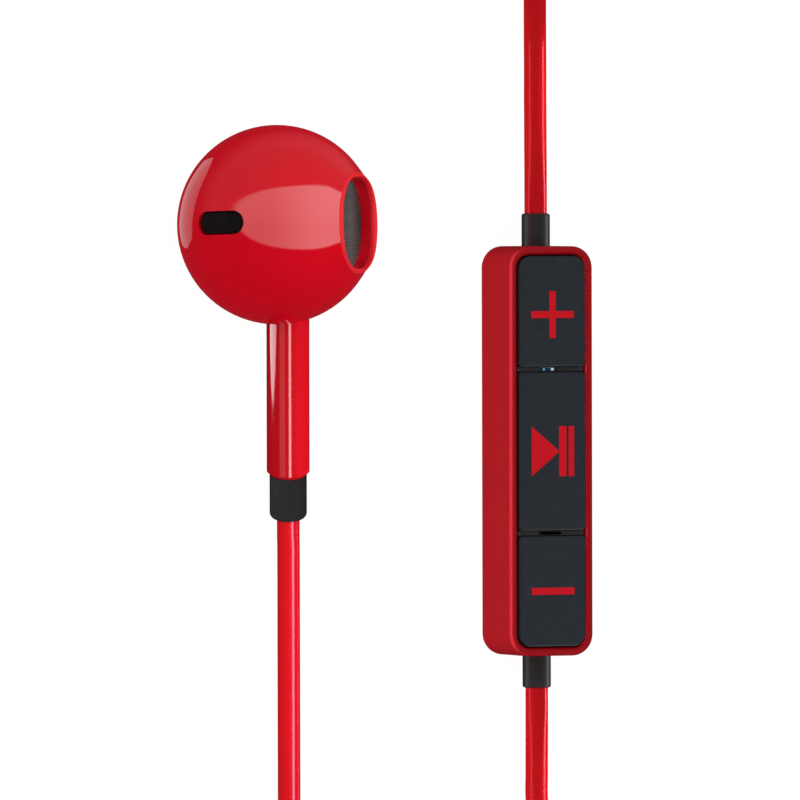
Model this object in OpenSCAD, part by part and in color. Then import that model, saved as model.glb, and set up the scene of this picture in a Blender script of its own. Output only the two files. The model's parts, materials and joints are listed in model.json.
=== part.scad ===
// Wired earphones: two round earpieces joined by a cord through a battery-powered
// in-line control. They lie on a flat surface at Z = 0. The origin is the centre of
// the control's flat back, +X across the control, +Y along it, +Z away from the surface.

/* [Earpiece head] */
// Outer diameter of the round head
head_d = 18.3; // [17.8:0.1:20]
// Wall of the head's back chamber
head_wall = 0.9; // [0.7:0.05:1.2]
// Distance of the nozzle's rim from the centre of the head
nozzle_reach = 8.15; // [7.9:0.05:8.3]
// Bore of the nozzle
nozzle_bore_d = 8.24; // [7.6:0.02:8.6]
// Angle off the nozzle's axis at which its cone leaves the ball
nozzle_cone_angle = 40; // [36:0.5:42]
// Upward tilt of the nozzle from square to the stem
nozzle_tilt = 7.4; // [4:0.2:10]
// Radius of the rounded lip round the nozzle's mouth
nozzle_lip_r = 0.36; // [0.3:0.01:0.4]
// Distance of the seam between the two housings from the head's centre
seam_at = 4.6; // [4.4:0.05:4.9]
// Depth of the nozzle's mesh behind the rim
mesh_recess = 1.4; // [0.9:0.02:1.5]
// Thickness of the meshes
mesh_t = 0.25; // [0.15:0.05:0.35]
// Step that holds the nozzle's mesh, all round
mesh_step = 0.35; // [0.2:0.05:0.45]

/* [Side vents] */
// Length of each vent slot
vent_len = 5.1; // [4.4:0.1:5.2]
// Width of each vent slot
vent_w = 2.15; // [1.6:0.05:2.6]
// Angle of each vent's centre from the nozzle's axis
vent_polar = 105; // [104:0.2:112]
// Turn of each vent about the nozzle's axis, from straight up
vent_turn = 71; // [60:0.2:90]
// Rim of the mesh glued behind each vent
vent_mesh_rim = 0.3; // [0.2:0.05:0.4]
// Depth of each vent's mesh below the ball
vent_mesh_depth = 0.3; // [0.2:0.05:0.5]

/* [Stem] */
// Diameter of the stem
stem_d = 3.95; // [3.7:0.05:4.4]
// Bore of the stem
stem_bore_d = 2.9; // [2.6:0.05:3.1]
// Distance of the stem's end from the head's centre
stem_end = 24.15; // [20:0.05:27]
// Offset of the stem from the head's centre, towards the nozzle
stem_offset = 1.05; // [0.7:0.05:1.2]
// Bevel round the stem's end
stem_edge = 0.35; // [0.1:0.05:0.5]
// Diameter of the strain relief
relief_d = 3.44; // [3.1:0.02:3.7]
// Length of the strain relief below the stem
relief_len = 4.25; // [3:0.05:7]
// Rounding of the strain relief's end
relief_edge = 0.55; // [0.2:0.05:0.6]
// Length of the relief's shank inside the stem
relief_shank = 2.6; // [2:0.1:4]
// Diameter of each lead wire inside the stem
wire_d = 0.4; // [0.3:0.05:0.5]
// Distance between the two lead wires
wire_pitch = 1.2; // [0.8:0.1:1.3]
// Offset of the lead wires from the stem's axis
wire_offset = 0.3; // [0.1:0.05:0.35]
// Distance of the lead wires' top from the head's centre
wire_top = 5.9; // [5.8:0.05:6.4]

/* [Driver] */
// Outer diameter of the driver
driver_d = 14.2; // [13.6:0.1:14.2]
// Distance of the driver's seat from the head's centre
driver_seat = 1.3; // [1.2:0.05:1.4]
// Thickness of the ledge that the driver sits on
seat_ledge_t = 0.55; // [0.4:0.05:0.6]
// Width of the ledge under the driver's edge
seat_ledge_w = 0.5; // [0.4:0.05:0.6]
// Height of the driver frame
frame_h = 1.6; // [1.5:0.05:1.8]
// Wall of the driver frame
frame_wall = 0.55; // [0.4:0.05:0.7]
// Thickness of the driver frame's floor
frame_floor = 0.5; // [0.4:0.05:0.6]
// Thickness of the diaphragm
film_t = 0.1; // [0.05:0.01:0.15]
// Rise of the diaphragm's dome
film_rise = 0.2; // [0.1:0.02:0.22]
// Height of the driver's front cover
cover_h = 0.5; // [0.45:0.05:0.6]
// Sheet thickness of the front cover
cover_t = 0.15; // [0.1:0.05:0.2]
// Diameter of the holes in the front cover
cover_hole_d = 1.6; // [1:0.1:2]
// Number of holes round the front cover
cover_holes = 6; // [4:1:9]
// Radius of the circle that the cover's holes lie on
cover_hole_r = 3.6; // [3:0.1:4.5]
// Outer diameter of the yoke cup
yoke_d = 8.5; // [8:0.1:9.4]
// Wall of the yoke cup
yoke_wall = 0.5; // [0.4:0.05:0.6]
// Thickness of the yoke's floor
yoke_floor = 0.6; // [0.4:0.05:0.8]
// Depth of the yoke behind the driver's seat
yoke_depth = 1.9; // [1.6:0.05:2.2]
// Thickness of the magnet
magnet_h = 1.4; // [1.2:0.05:1.5]
// Thickness of the pole plate
pole_h = 0.6; // [0.4:0.05:0.6]
// Wall of the voice coil
coil_wall = 0.3; // [0.2:0.02:0.32]
// Height of the voice coil
coil_h = 1.2; // [0.9:0.05:1.3]
// Radial gap on each side of the voice coil
coil_gap = 0.25; // [0.15:0.02:0.3]
// Thickness of the terminal board
terminal_t = 0.45; // [0.3:0.05:0.45]
// Width of the terminal board
terminal_w = 3; // [2.4:0.1:3.2]
// Height of the terminal board
terminal_h = 1.7; // [1.2:0.1:1.8]

/* [Control housing] */
// Width of the control
control_w = 8.5; // [8.2:0.05:9.2]
// Length of the control
control_len = 38; // [36.6:0.1:42]
// Height of the control's rim
control_h = 6.7; // [6.6:0.05:7.4]
// Radius of the control's corners
control_corner = 2.0; // [1.6:0.05:2.4]
// Rounding of the rim's outer edge
rim_edge = 0.4; // [0.1:0.02:0.42]
// Rounding of the rim's inner edge
rim_inner = 0.36; // [0.1:0.02:0.38]
// Rounding of the back's outer edge
back_edge = 0.5; // [0.2:0.02:0.8]
// Width of the rim round the keys
rim_wall = 0.8; // [0.78:0.01:0.84]
// Wall beside the circuit board
board_wall = 0.96; // [0.92:0.02:1.02]
// Wall below the circuit board
lower_wall = 1.2; // [1.1:0.02:1.25]
// Thickness of the control's back
back_wall = 0.8; // [0.6:0.05:1]

/* [Keys] */
// Gap between the keys and the rim at the sides
key_side_gap = 0.1; // [0.08:0.01:0.16]
// Gap between the keys and the rim at the ends
key_end_gap = 0.1; // [0.08:0.01:0.16]
// Length of the middle key
play_key_len = 14.7; // [12:0.1:16]
// Width of the grooves between the keys
groove_w = 0.5; // [0.4:0.02:0.6]
// Depth of the grooves below the keys' tops
groove_depth = 0.55; // [0.4:0.05:0.8]
// Height of the keys above the rim
key_proud = 0.2; // [0.1:0.02:0.3]
// Radius of the keys' outer corners
key_corner = 1.2; // [1.1:0.05:1.6]
// Radius of the keys' corners at the grooves
key_inner_corner = 0.3; // [0.22:0.02:0.6]
// Rounding of the keys' top edges
key_edge = 0.18; // [0.08:0.02:0.2]
// Travel of each key
key_travel = 0.25; // [0.15:0.05:0.3]
// Thickness of the keys' tops
key_top_t = 0.6; // [0.5:0.05:0.7]
// Wall of the keys' skirts
key_skirt = 0.6; // [0.4:0.05:0.8]
// Diameter of the plunger under each key
plunger_d = 1.6; // [1.2:0.1:2]
// Length of each arm of the plus and of the minus
symbol_len = 4.35; // [3.6:0.05:4.8]
// Width of the symbols' strokes
symbol_stroke = 0.65; // [0.5:0.01:0.8]
// Height of the play triangle and its bars
play_h = 4.65; // [3.8:0.05:5.2]
// Width of the play triangle
play_tip = 2.85; // [2.4:0.05:3]
// Widths of the two bars beside the triangle
bar_w = [0.7, 0.56];
// Gap between the two bars
bar_gap = 0.22; // [0.15:0.01:0.3]
// Depth of the symbols in the keys
symbol_t = 0.3; // [0.2:0.02:0.4]
// Height of the symbols above the keys' tops
symbol_proud = 0.02; // [0.01:0.01:0.04]
// Shift of the plus from the middle of its key
plus_shift = -0.3; // [-0.4:0.01:0.4]

/* [Electronics] */
// Height of the circuit board's underside above the back
board_z = 4.0; // [3.95:0.05:4.1]
// Thickness of the circuit board
board_t = 0.5; // [0.4:0.05:0.55]
// Space between the circuit board and the key frame
board_headroom = 0.45; // [0.42:0.01:0.5]
// Thickness of the key frame's plate
plate_t = 0.5; // [0.4:0.05:0.6]
// Gap between the circuit board's ends and the reliefs' flanges
board_end_gap = 0.6; // [0.2:0.1:0.8]
// Diameter of each snap dome
dome_d = 4; // [3:0.1:4.4]
// Height of each snap dome
dome_h = 0.25; // [0.2:0.01:0.28]
// Size of the microphone
mic_size = [3.5, 2.65, 0.95];
// Length of the slots for sound and for light
slot_len = 2.3; // [1.8:0.05:2.6]
// Width of the slots for sound and for light
slot_w = 0.3; // [0.2:0.02:0.32]
// Size of each lamp diode
diode_size = [1.0, 0.5, 0.4];
// Distance between the two lamp diodes
diode_pitch = 1.2; // [1.1:0.05:1.3]
// Sideways place of the middle of the two diodes
diode_shift = -0.37; // [-0.4:0.01:0.4]
// Size of the radio module
radio_size = [5, 5, 0.9];
// Gap between the radio module and the battery
radio_gap = 0.3; // [0.2:0.05:0.8]
// Size of the chip antenna
antenna_size = [3.2, 1.6, 0.4];
// Place of the chip antenna along the control
antenna_y = 3.9; // [3.7:0.1:5]
// Size of the battery cell
battery_size = [5.6, 15.2, 2.5];
// Gap between the battery and the upper relief's flange
battery_gap = 0.3; // [0.2:0.05:0.8]
// Thickness of the foam pad under the battery
pad_t = 0.2; // [0.1:0.05:0.3]
// Width, height and depth of the charging port's shell
port_size = [7.5, 2.55, 5.0];
// Sheet thickness of the charging port's shell
port_sheet = 0.3; // [0.2:0.02:0.35]
// Gap between the charging port and the radio module
port_gap = 0.3; // [0.2:0.05:0.8]
// Setback of the charging port's mouth from the side
port_setback = 0.1; // [0.05:0.05:0.3]
// Width, thickness and length of the contact tongue
tongue_size = [3.7, 0.6, 3.4];
// Diameter of each lead soldered to the board
lead_d = 0.4; // [0.3:0.02:0.44]
// Distance between the two leads at each end
lead_pitch = 1.2; // [0.8:0.1:2]
// Length of lead on the board
lead_len = 1.1; // [0.9:0.1:1.2]

/* [Control reliefs] */
// Diameter of the control's strain reliefs
grommet_d = 2.64; // [2.4:0.02:2.8]
// Length of each strain relief outside the control
grommet_len = 3.03; // [2.4:0.01:5]
// Height of the strain reliefs' axis above the back
grommet_z = 3.2; // [2.8:0.05:3.2]
// Rounding of each strain relief's end
grommet_edge = 0.22; // [0.1:0.02:0.24]
// Diameter of the flange inside the control
flange_d = 3.4; // [3.2:0.05:3.4]
// Thickness of the flange inside the control
flange_t = 1.0; // [0.6:0.05:1]

/* [Cord] */
// Diameter of the cord
cord_d = 2.1; // [1.9:0.02:2.15]
// Distance between neighbouring turns of the coil, and between its layers
turn_pitch = 2.6; // [2.56:0.01:2.7]
// Radius of the coil's outermost turn
coil_r = 14; // [13.8:0.1:14.4]
// Turns in each of the coil's two layers
layer_turns = 2.5; // [1.5:1:2.5]

/* [Lie of the pieces] */
// Roll of each earpiece, which lifts its nozzle off the surface
nozzle_roll = 43.8; // [30:0.2:50]
// Heading of the left earpiece's stem, from straight along the control
left_heading = 7.5; // [7.2:0.05:8]
// Heading of the right earpiece's stem
right_heading = 180; // [178:0.5:182]

/* [Clearances] */
// Gap between pieces that slide into each other
fit = 0.05; // [0.03:0.01:0.06]
// Gap left under a key that is pressed right down
key_stop_gap = 0.05; // [0.03:0.01:0.08]

/* [Hidden] */
$fn = 96;
// How far a cut runs past a face
cut = 1;

// Colours
gloss_red = "#c4141f";
cord_red = "#d0202c";
key_black = "#2e3135";
relief_black = "#303234";
mesh_grey = "#3c4244";

// Head, all measured from its centre along the nozzle's axis
head_r = head_d / 2;
chamber_r = head_r - head_wall;
cone_from = head_r * cos(nozzle_cone_angle);
cone_r = head_r * sin(nozzle_cone_angle);
nozzle_r = nozzle_bore_d / 2;
lip_at = nozzle_reach - nozzle_lip_r;
lip_ring_r = nozzle_r + nozzle_lip_r + 0.02;
cone_to = lip_at + nozzle_lip_r / 2;
cone_to_r = cone_r - (cone_to - cone_from) / tan(nozzle_cone_angle);
mesh_front = nozzle_reach - mesh_recess;
mesh_r = nozzle_r + mesh_step;
driver_r = driver_d / 2;
driver_front = driver_seat + frame_h + film_t + cover_h;
pocket_r = driver_r + fit;
spigot_r = pocket_r + fit;
recess_r = spigot_r + fit;
spigot_bore_r = driver_r - seat_ledge_w;
ledge_back = driver_seat - seat_ledge_t;
// Length of the funnel between the spigot and the mesh
funnel_len = 1.9;

// Stem and its relief
stem_r = stem_d / 2;
relief_end = stem_end + relief_len;
shank_d = stem_bore_d - 2 * fit;

// Driver, stacked from its seat
frame_top = driver_seat + frame_h;
film_top = frame_top + film_t;
yoke_r = yoke_d / 2;
yoke_inner_r = yoke_r - yoke_wall;
yoke_back = driver_seat - yoke_depth;
magnet_back = yoke_back + yoke_floor;
coil_outer_r = yoke_inner_r - coil_gap;
coil_inner_r = coil_outer_r - coil_wall;
pole_r = coil_inner_r - coil_gap;
magnet_r = pole_r - 0.1;
film_r = driver_r - fit;
terminal_low = -(driver_r - seat_ledge_w - 0.3);

// How an earpiece rests: on the ball of its head and on the end of its relief
rest_r = relief_d / 2 - stem_offset * sin(nozzle_roll);
rest_slope = asin(head_r / norm([relief_end, rest_r])) - atan(rest_r / relief_end);
left_at = [-28.8, 21.12, head_r];
right_at = [-17, 56, head_r];

// Control, from its back upwards
half_w = control_w / 2;
half_len = control_len / 2;
board_top = board_z + board_t;
plate_z = board_top + board_headroom;
plate_top = plate_z + plate_t;
key_top = control_h + key_proud;
key_bottom = plate_top + key_travel + key_stop_gap;
groove_z = key_top - groove_depth;
well_w = control_w - 2 * rim_wall;
well_len = control_len - 2 * rim_wall;
well_corner = control_corner - rim_wall;
key_w = well_w - 2 * key_side_gap;
key_corner_r = max(key_corner, well_corner - min(key_side_gap, key_end_gap));
pad_len = well_len - 2 * key_end_gap;
end_key_len = (pad_len - play_key_len) / 2 - groove_w;
end_key_y = play_key_len / 2 + groove_w + end_key_len / 2;
groove_y = (play_key_len + groove_w) / 2;
lower_w = control_w - 2 * lower_wall;
lower_len = control_len - 2 * lower_wall;
board_w = control_w - 2 * board_wall - 4 * fit;
dome_top = board_top + dome_h;
plunger_z = dome_top + key_travel + key_stop_gap;
battery_z = back_wall + pad_t;
flange_at = half_len - lower_wall;
flange_face = flange_at - flange_t;
board_len = 2 * (flange_face - board_end_gap);
battery_y = flange_face - battery_gap - battery_size.y / 2;
radio_y = battery_y - battery_size.y / 2 - radio_gap - radio_size.y / 2;
port_y = radio_y - radio_size.y / 2 - port_gap - port_size.x / 2;

// Cord
cord_r = cord_d / 2;
cord_z = cord_r + 0.01;
tube_sides = 8;
// Straight run of cord out of an earpiece's relief
run_out = 1.9;
coil_sides = 6;
coil_steps = 24;
coil_at = [-10.2, -49.6, cord_z];
coil_inner = coil_r - turn_pitch * layer_turns;
coil_turns = 2 * layer_turns + 0.5;

// ---- Placing the earpieces ----

function turn_x(angle, p) =
    [p.x, p.y * cos(angle) - p.z * sin(angle), p.y * sin(angle) + p.z * cos(angle)];

function turn_z(angle, p) =
    [p.x * cos(angle) - p.y * sin(angle), p.x * sin(angle) + p.y * cos(angle), p.z];

// Where a point of an upright earpiece lies once the earpiece is laid down
function laid(p, heading, at) =
    at + turn_z(heading, turn_x(rest_slope - 90, turn_z(-nozzle_roll, p)));

module lay(heading, at) {
    translate(at)
        rotate([0, 0, heading])
            rotate([rest_slope - 90, 0, 0])
                rotate([0, 0, -nozzle_roll])
                    children();
}

module left() lay(left_heading, left_at) children();

module right() lay(right_heading, right_at) children();

// Turns what is built along +Z to lie along the nozzle's axis
module along_nozzle() {
    rotate([0, 90 - nozzle_tilt, 0])
        children();
}

// ---- Shapes used more than once ----

// A rod along +Z whose far end is rounded
module round_ended_rod(r, length, edge) {
    rotate_extrude() {
        square([r, length - edge]);
        square([r - edge, length]);
        translate([r - edge, length - edge])
            intersection() {
                circle(edge);
                square(edge);
            }
    }
}

module ring(outer, inner, height) {
    difference() {
        cylinder(r = outer, h = height);
        translate([0, 0, -cut])
            cylinder(r = inner, h = height + 2 * cut);
    }
}

// A flat outline with two half-round ends, along X
module slot_outline(length, width) {
    square([length - width, width], center = true);
    for (side = [-1, 1])
        translate([side * (length - width) / 2, 0])
            circle(d = width);
}

module rounded_outline(w, l, corner) {
    square([w - 2 * corner, l], center = true);
    square([w, l - 2 * corner], center = true);
    for (x = [-1, 1], y = [-1, 1])
        translate([x * (w / 2 - corner), y * (l / 2 - corner)])
            circle(corner);
}

module pocket(w, l, corner, from, to) {
    translate([0, 0, from])
        linear_extrude(to - from)
            rounded_outline(w, l, corner);
}

module block(size, at) {
    translate([at.x - size.x / 2, at.y - size.y / 2, at.z])
        cube(size);
}

// One upright corner of a slab, with its lower and upper edges rounded
module slab_corner(r, height, low, high) {
    rotate_extrude($fn = 48)
        polygon([
            [0, 0],
            for (a = [-90 : 22.5 : 0]) [r - low + low * cos(a), low + low * sin(a)],
            for (a = [0 : 22.5 : 90]) [r - high + high * cos(a), height - high + high * sin(a)],
            [0, height]
        ]);
}

// ---- Cord ----

function unit(v) = v / norm(v);

function tangents(path) = [
    for (i = [0 : len(path) - 1])
        unit(path[min(i + 1, len(path) - 1)] - path[max(i - 1, 0)])
];

function ring_points(centre, along, r, sides) =
    let (side = unit(cross([0, 0, 1], along)), up = cross(along, side))
    [
        for (j = [0 : sides - 1])
            let (a = 360 * (j + 0.5) / sides)
            centre + r * (cos(a) * side + sin(a) * up)
    ];

// A closed tube of flat sides that follows the path's own points
module tube(path, r, sides) {
    along = tangents(path);
    last = len(path) - 1;
    points = [for (i = [0 : last]) each ring_points(path[i], along[i], r, sides)];
    walls = [
        for (i = [0 : last - 1], j = [0 : sides - 1])
            let (a = i * sides + j, b = i * sides + (j + 1) % sides)
            each [[a, a + sides, b + sides], [a, b + sides, b]]
    ];
    near_end = [for (j = [1 : sides - 2]) [0, j, j + 1]];
    far_end = [for (j = [1 : sides - 2]) [0, j + 1, j] + last * sides * [1, 1, 1]];
    polyhedron(points, concat(walls, near_end, far_end));
}

function path_len(path) =
    let (steps = [for (i = [1 : len(path) - 1]) norm(path[i] - path[i - 1])])
    steps * [for (s = steps) 1];

// Where an earpiece's cord starts, and the end of its straight run
function relief_exit(heading, at, out) = laid([stem_offset, 0, -relief_end - out], heading, at);

// The coil, after a number of turns: inwards, up a layer where it turns back, outwards
function coil_radius(t) =
    t < layer_turns ? coil_r - turn_pitch * t
    : t < layer_turns + 0.5
        ? coil_inner - turn_pitch / (2 * PI) * sin(360 * (t - layer_turns))
        : coil_inner + turn_pitch * (t - layer_turns - 0.5);

function coil_rise(t) =
    t < layer_turns ? 0
    : t < layer_turns + 0.5 ? turn_pitch * (1 - cos(360 * (t - layer_turns))) / 2
    : turn_pitch;

function coil_point(t) =
    let (a = 180 + 360 * t)
    coil_at + [coil_radius(t) * cos(a), coil_radius(t) * sin(a), coil_rise(t)];

coil_start = coil_point(0) + [0, cord_d, 0];
coil_end = coil_point(coil_turns) + [0, cord_d, 0];
coil_path = [
    coil_start,
    for (i = [0 : coil_turns * coil_steps]) coil_point(i / coil_steps),
    coil_end
];

// From the left earpiece, down to the surface and along it to the coil
left_path = [
    relief_exit(left_heading, left_at, 0),
    relief_exit(left_heading, left_at, run_out),
    [-24.2, -11, cord_z],
    [-24.2, -16, cord_z],
    [-24.2, -21, cord_z],
    [-24.2, -26, cord_z],
    [-24.2, -31, cord_z],
    [-24.2, -36, cord_z],
    [-24.2, -41, cord_z],
    [-24.2, -45, cord_z],
    coil_start
];

// From the coil, down to the surface, along it and up into the control
control_path = [
    coil_end,
    coil_end + [0, cord_d, 0],
    [3.5, -42.4, 3.1],
    [3, -39.8, 2.1],
    [2.3, -37.2, 1.3],
    [1.3, -34.8, cord_z],
    [0.95, -32.4, cord_z],
    [0.85, -30.2, 1.3],
    [0.58, -28.2, 1.9],
    [0.27, -26.2, 2.6],
    [0, -24.2, grommet_z],
    [0, -half_len - grommet_len, grommet_z]
];

// From the control, down to the surface, round and into the right earpiece
right_path = [
    [0, half_len + grommet_len, grommet_z],
    [0, 24.2, grommet_z],
    [0.27, 26.4, 2.6],
    [0.58, 28.6, 1.9],
    [0.85, 30.8, 1.3],
    [0.95, 33.6, cord_z],
    [0.95, 38.6, cord_z],
    [0.95, 43.6, cord_z],
    [0.95, 48.6, cord_z],
    [0.95, 53.6, cord_z],
    [0.95, 58.6, cord_z],
    [0.95, 63.6, cord_z],
    [0.95, 68.6, cord_z],
    [0.95, 73.6, cord_z],
    [0.95, 78.6, cord_z],
    [0.95, 83.4, cord_z],
    [0.7, 88, cord_z],
    [-0.6, 92.2, cord_z],
    [-3.4, 95.6, cord_z],
    [-7.4, 97.2, cord_z],
    [-11.6, 96.4, cord_z],
    [-15, 93.8, cord_z],
    [-17.1, 90.4, cord_z],
    [-17.8, 87.2, cord_z],
    relief_exit(right_heading, right_at, run_out),
    relief_exit(right_heading, right_at, 0)
];

coil_gaps = [
    for (i = [0 : len(coil_path) - 1], j = [i + coil_steps / 2 : len(coil_path) - 1])
        norm(coil_path[i] - coil_path[j]) - cord_d
];
echo(coil_least_gap = min(coil_gaps), coil_length = path_len(coil_path));
echo(left_length = path_len(left_path) + path_len(coil_path) + path_len(control_path));
echo(right_length = path_len(right_path));

// ---- Control ----

module control_housing() {
    color(gloss_red)
        difference() {
            hull()
                for (x = [-1, 1], y = [-1, 1])
                    translate([x * (half_w - control_corner), y * (half_len - control_corner), 0])
                        slab_corner(control_corner, control_h, back_edge, rim_edge);
            pocket(well_w, well_len, well_corner, plate_z, control_h + cut);
            rim_rounding();
            pocket(control_w - 2 * board_wall, control_len - 2 * board_wall,
                control_corner - board_wall, board_z, plate_z + cut);
            pocket(lower_w, lower_len, control_corner - lower_wall, back_wall, board_z + cut);
            port_opening();
            for (side = [-1, 1])
                along_end(side)
                    translate([0, 0, flange_at - cut])
                        cylinder(d = grommet_d + fit, h = lower_wall + 2 * cut);
        }
}

// What is cut away round the well's mouth, so that the rim's inner edge is round
module rim_rounding() {
    straight_w = well_w - 2 * well_corner;
    straight_len = well_len - 2 * well_corner;
    translate([0, 0, control_h]) {
        for (end = [0, 1])
            rotate([0, 0, 180 * end]) {
                translate([well_w / 2, straight_len / 2, 0])
                    rotate([90, 0, 0])
                        linear_extrude(straight_len)
                            rounding_profile();
                translate([-straight_w / 2, well_len / 2, 0])
                    rotate([90, 0, 90])
                        linear_extrude(straight_w)
                            rounding_profile();
            }
        for (x = [0, 1], y = [0, 1])
            mirror([x, 0, 0])
                mirror([0, y, 0])
                    translate([straight_w / 2, straight_len / 2, 0])
                        rotate_extrude(angle = 90, $fn = 64)
                            translate([well_corner, 0])
                                rounding_profile();
    }
}

module rounding_profile() {
    polygon([
        [-fit, cut],
        [-fit, -rim_inner],
        for (a = [180 : -22.5 : 90]) [rim_inner + rim_inner * cos(a), rim_inner * (sin(a) - 1)],
        [rim_inner, cut]
    ]);
}

// Turns what is built along +Z to run out of one end of the control at the reliefs' height
module along_end(side) {
    translate([0, 0, grommet_z])
        rotate([-90 * side, 0, 0])
            children();
}

module port_opening() {
    size = [port_size.z + cut, port_size.x + 2 * fit, port_size.y + 2 * fit];
    translate([half_w - port_setback - port_size.z - fit, port_y - size.y / 2,
            board_z - port_size.y - fit])
        cube(size);
}

module key_frame() {
    bar_w_y = groove_w - 2 * fit;
    color(key_black)
        difference() {
            union() {
                pocket(well_w - 2 * fit, well_len - 2 * fit, well_corner - fit, plate_z, plate_top);
                for (side = [-1, 1])
                    block([key_w, bar_w_y, groove_z - plate_z], [0, side * groove_y, plate_z]);
            }
            for (y = [-end_key_y, 0, end_key_y])
                translate([0, y, plate_z - cut])
                    cylinder(d = plunger_d + 4 * fit, h = plate_t + 2 * cut);
            block(mic_size + [4 * fit, 4 * fit, fit], [0, -groove_y, board_top]);
            for (side = [-1, 1])
                translate([0, side * groove_y, plate_z - cut])
                    linear_extrude(groove_z - plate_z + 2 * cut)
                        slot_outline(slot_len, slot_w);
        }
}

// A key: y_from is its lower end, and each end has its own corner radius
module key_cap(y_from, y_to, low_corner, high_corner) {
    height = key_top - key_bottom;
    middle = (y_from + y_to) / 2;
    length = y_to - y_from;
    color(key_black) {
        difference() {
            hull()
                for (x = [-1, 1], end = [[y_from, 1, low_corner], [y_to, -1, high_corner]])
                    translate([x * (key_w / 2 - end[2]), end[0] + end[1] * end[2], key_bottom])
                        slab_corner(end[2], height, key_edge / 2, key_edge);
            block([key_w - 2 * key_skirt, length - 2 * key_skirt, height - key_top_t + cut],
                [0, middle, key_bottom - cut]);
            children();
        }
        translate([0, middle, plunger_z])
            cylinder(d = plunger_d, h = key_top - key_top_t - plunger_z + fit);
    }
}

module plus_key() {
    key_cap(groove_y + groove_w / 2, groove_y + groove_w / 2 + end_key_len,
        key_inner_corner, key_corner_r)
        plus_pocket();
}

module play_key() {
    key_cap(-play_key_len / 2, play_key_len / 2, key_inner_corner, key_inner_corner)
        play_pocket();
}

module minus_key() {
    key_cap(-groove_y - groove_w / 2 - end_key_len, -groove_y - groove_w / 2,
        key_corner_r, key_inner_corner)
        minus_pocket();
}

module plus_outline() {
    square([symbol_len, symbol_stroke], center = true);
    square([symbol_stroke, symbol_len], center = true);
}

module play_outline() {
    total = play_tip + bar_w[0] + bar_gap + bar_w[1];
    translate([-total / 2, 0]) {
        polygon([[0, -play_h / 2], [play_tip, 0], [0, play_h / 2]]);
        translate([play_tip - fit, -play_h / 2])
            square([bar_w[0] + fit, play_h]);
        translate([total - bar_w[1], -play_h / 2])
            square([bar_w[1], play_h]);
    }
}

module symbol(y, top) {
    translate([0, y, key_top - symbol_t])
        linear_extrude(symbol_t + top)
            children();
}

module plus_pocket() symbol(end_key_y + plus_shift, cut) plus_outline();

module play_pocket() symbol(0, cut) play_outline();

module minus_pocket() symbol(-end_key_y, cut) square([symbol_len, symbol_stroke], center = true);

module plus_symbol() {
    color(cord_red)
        symbol(end_key_y + plus_shift, symbol_proud) plus_outline();
}

module play_symbol() {
    color(cord_red)
        symbol(0, symbol_proud) play_outline();
}

module minus_symbol() {
    color(cord_red)
        symbol(-end_key_y, symbol_proud) square([symbol_len, symbol_stroke], center = true);
}

module circuit_board() {
    color("#1f5c34")
        block([board_w, board_len, board_t], [0, 0, board_z]);
}

module key_domes() {
    color("silver")
        for (y = [-end_key_y, 0, end_key_y])
            translate([0, y, board_top]) {
                cylinder(d = dome_d, h = dome_h / 2);
                cylinder(d = dome_d * 0.6, h = dome_h);
            }
}

module light_pipe() {
    color("#dfe8ee")
        translate([0, groove_y, board_top + diode_size.z + fit])
            linear_extrude(groove_z - board_top - diode_size.z - fit)
                slot_outline(slot_len - 2 * fit, slot_w - fit);
}

module lamp_diodes() {
    color("#5fa8c4")
        for (side = [-1, 1])
            block(diode_size, [diode_shift + side * diode_pitch / 2, groove_y, board_top]);
}

module microphone() {
    color("#c9b37a")
        difference() {
            block(mic_size, [0, -groove_y, board_top]);
            translate([0, -groove_y, board_top + mic_size.z - slot_w])
                cylinder(d = slot_w, h = slot_w + cut);
        }
}

module radio_module() {
    color("#b8bcc0")
        block(radio_size, [0, radio_y, board_z - radio_size.z]);
}

module chip_antenna() {
    color("#e8e4da")
        block(antenna_size, [0, antenna_y, board_top]);
}

module battery() {
    color("#aeb4ba")
        block(battery_size, [0, battery_y, battery_z]);
}

module battery_pad() {
    color("#3a3a3a")
        block([battery_size.x, battery_size.y, pad_t], [0, battery_y, back_wall]);
}

module charging_port() {
    color("#c4c8cc")
        difference() {
            port_block(port_size, 0);
            port_block([port_size.x - 2 * port_sheet, port_size.y - 2 * port_sheet,
                port_size.z - port_sheet + cut], cut);
        }
}

// A block as wide, high and deep as size says, on the port's axis, whose mouth stands out
module port_block(size, out) {
    mouth = half_w - port_setback + out;
    axis_z = board_z - port_size.y / 2;
    translate([mouth - size.z, port_y - size.x / 2, axis_z - size.y / 2])
        cube([size.z, size.x, size.y]);
}

module contact_tongue() {
    color("#1c1c1e")
        port_block(tongue_size, tongue_size.z + port_sheet - port_size.z);
}

module board_leads() {
    color("#b5703a")
        for (side = [-1, 1], x = [-1, 1])
            translate([x * lead_pitch / 2, side * flange_face, board_z - lead_d / 2])
                rotate([90 * side, 0, 0])
                    cylinder(d = lead_d, h = lead_len);
}

module grommet(side) {
    color(relief_black)
        along_end(side) {
            translate([0, 0, flange_face])
                round_ended_rod(grommet_d / 2, flange_t + lower_wall + grommet_len, grommet_edge);
            translate([0, 0, flange_face])
                cylinder(d = flange_d, h = flange_t);
        }
}

module top_relief() grommet(1);

module bottom_relief() grommet(-1);

// ---- Earpiece, upright: the stem hangs down -Z, and the nozzle faces +X ----

module front_housing() {
    color(gloss_red)
        along_nozzle()
            difference() {
                union() {
                    intersection() {
                        sphere(head_r);
                        translate([0, 0, seam_at])
                            cylinder(r = head_r, h = cone_from - seam_at);
                    }
                    nozzle_cone();
                    translate([0, 0, driver_front])
                        cylinder(r = spigot_r, h = seam_at - driver_front + head_wall / 2);
                }
                funnel();
            }
}

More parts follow.
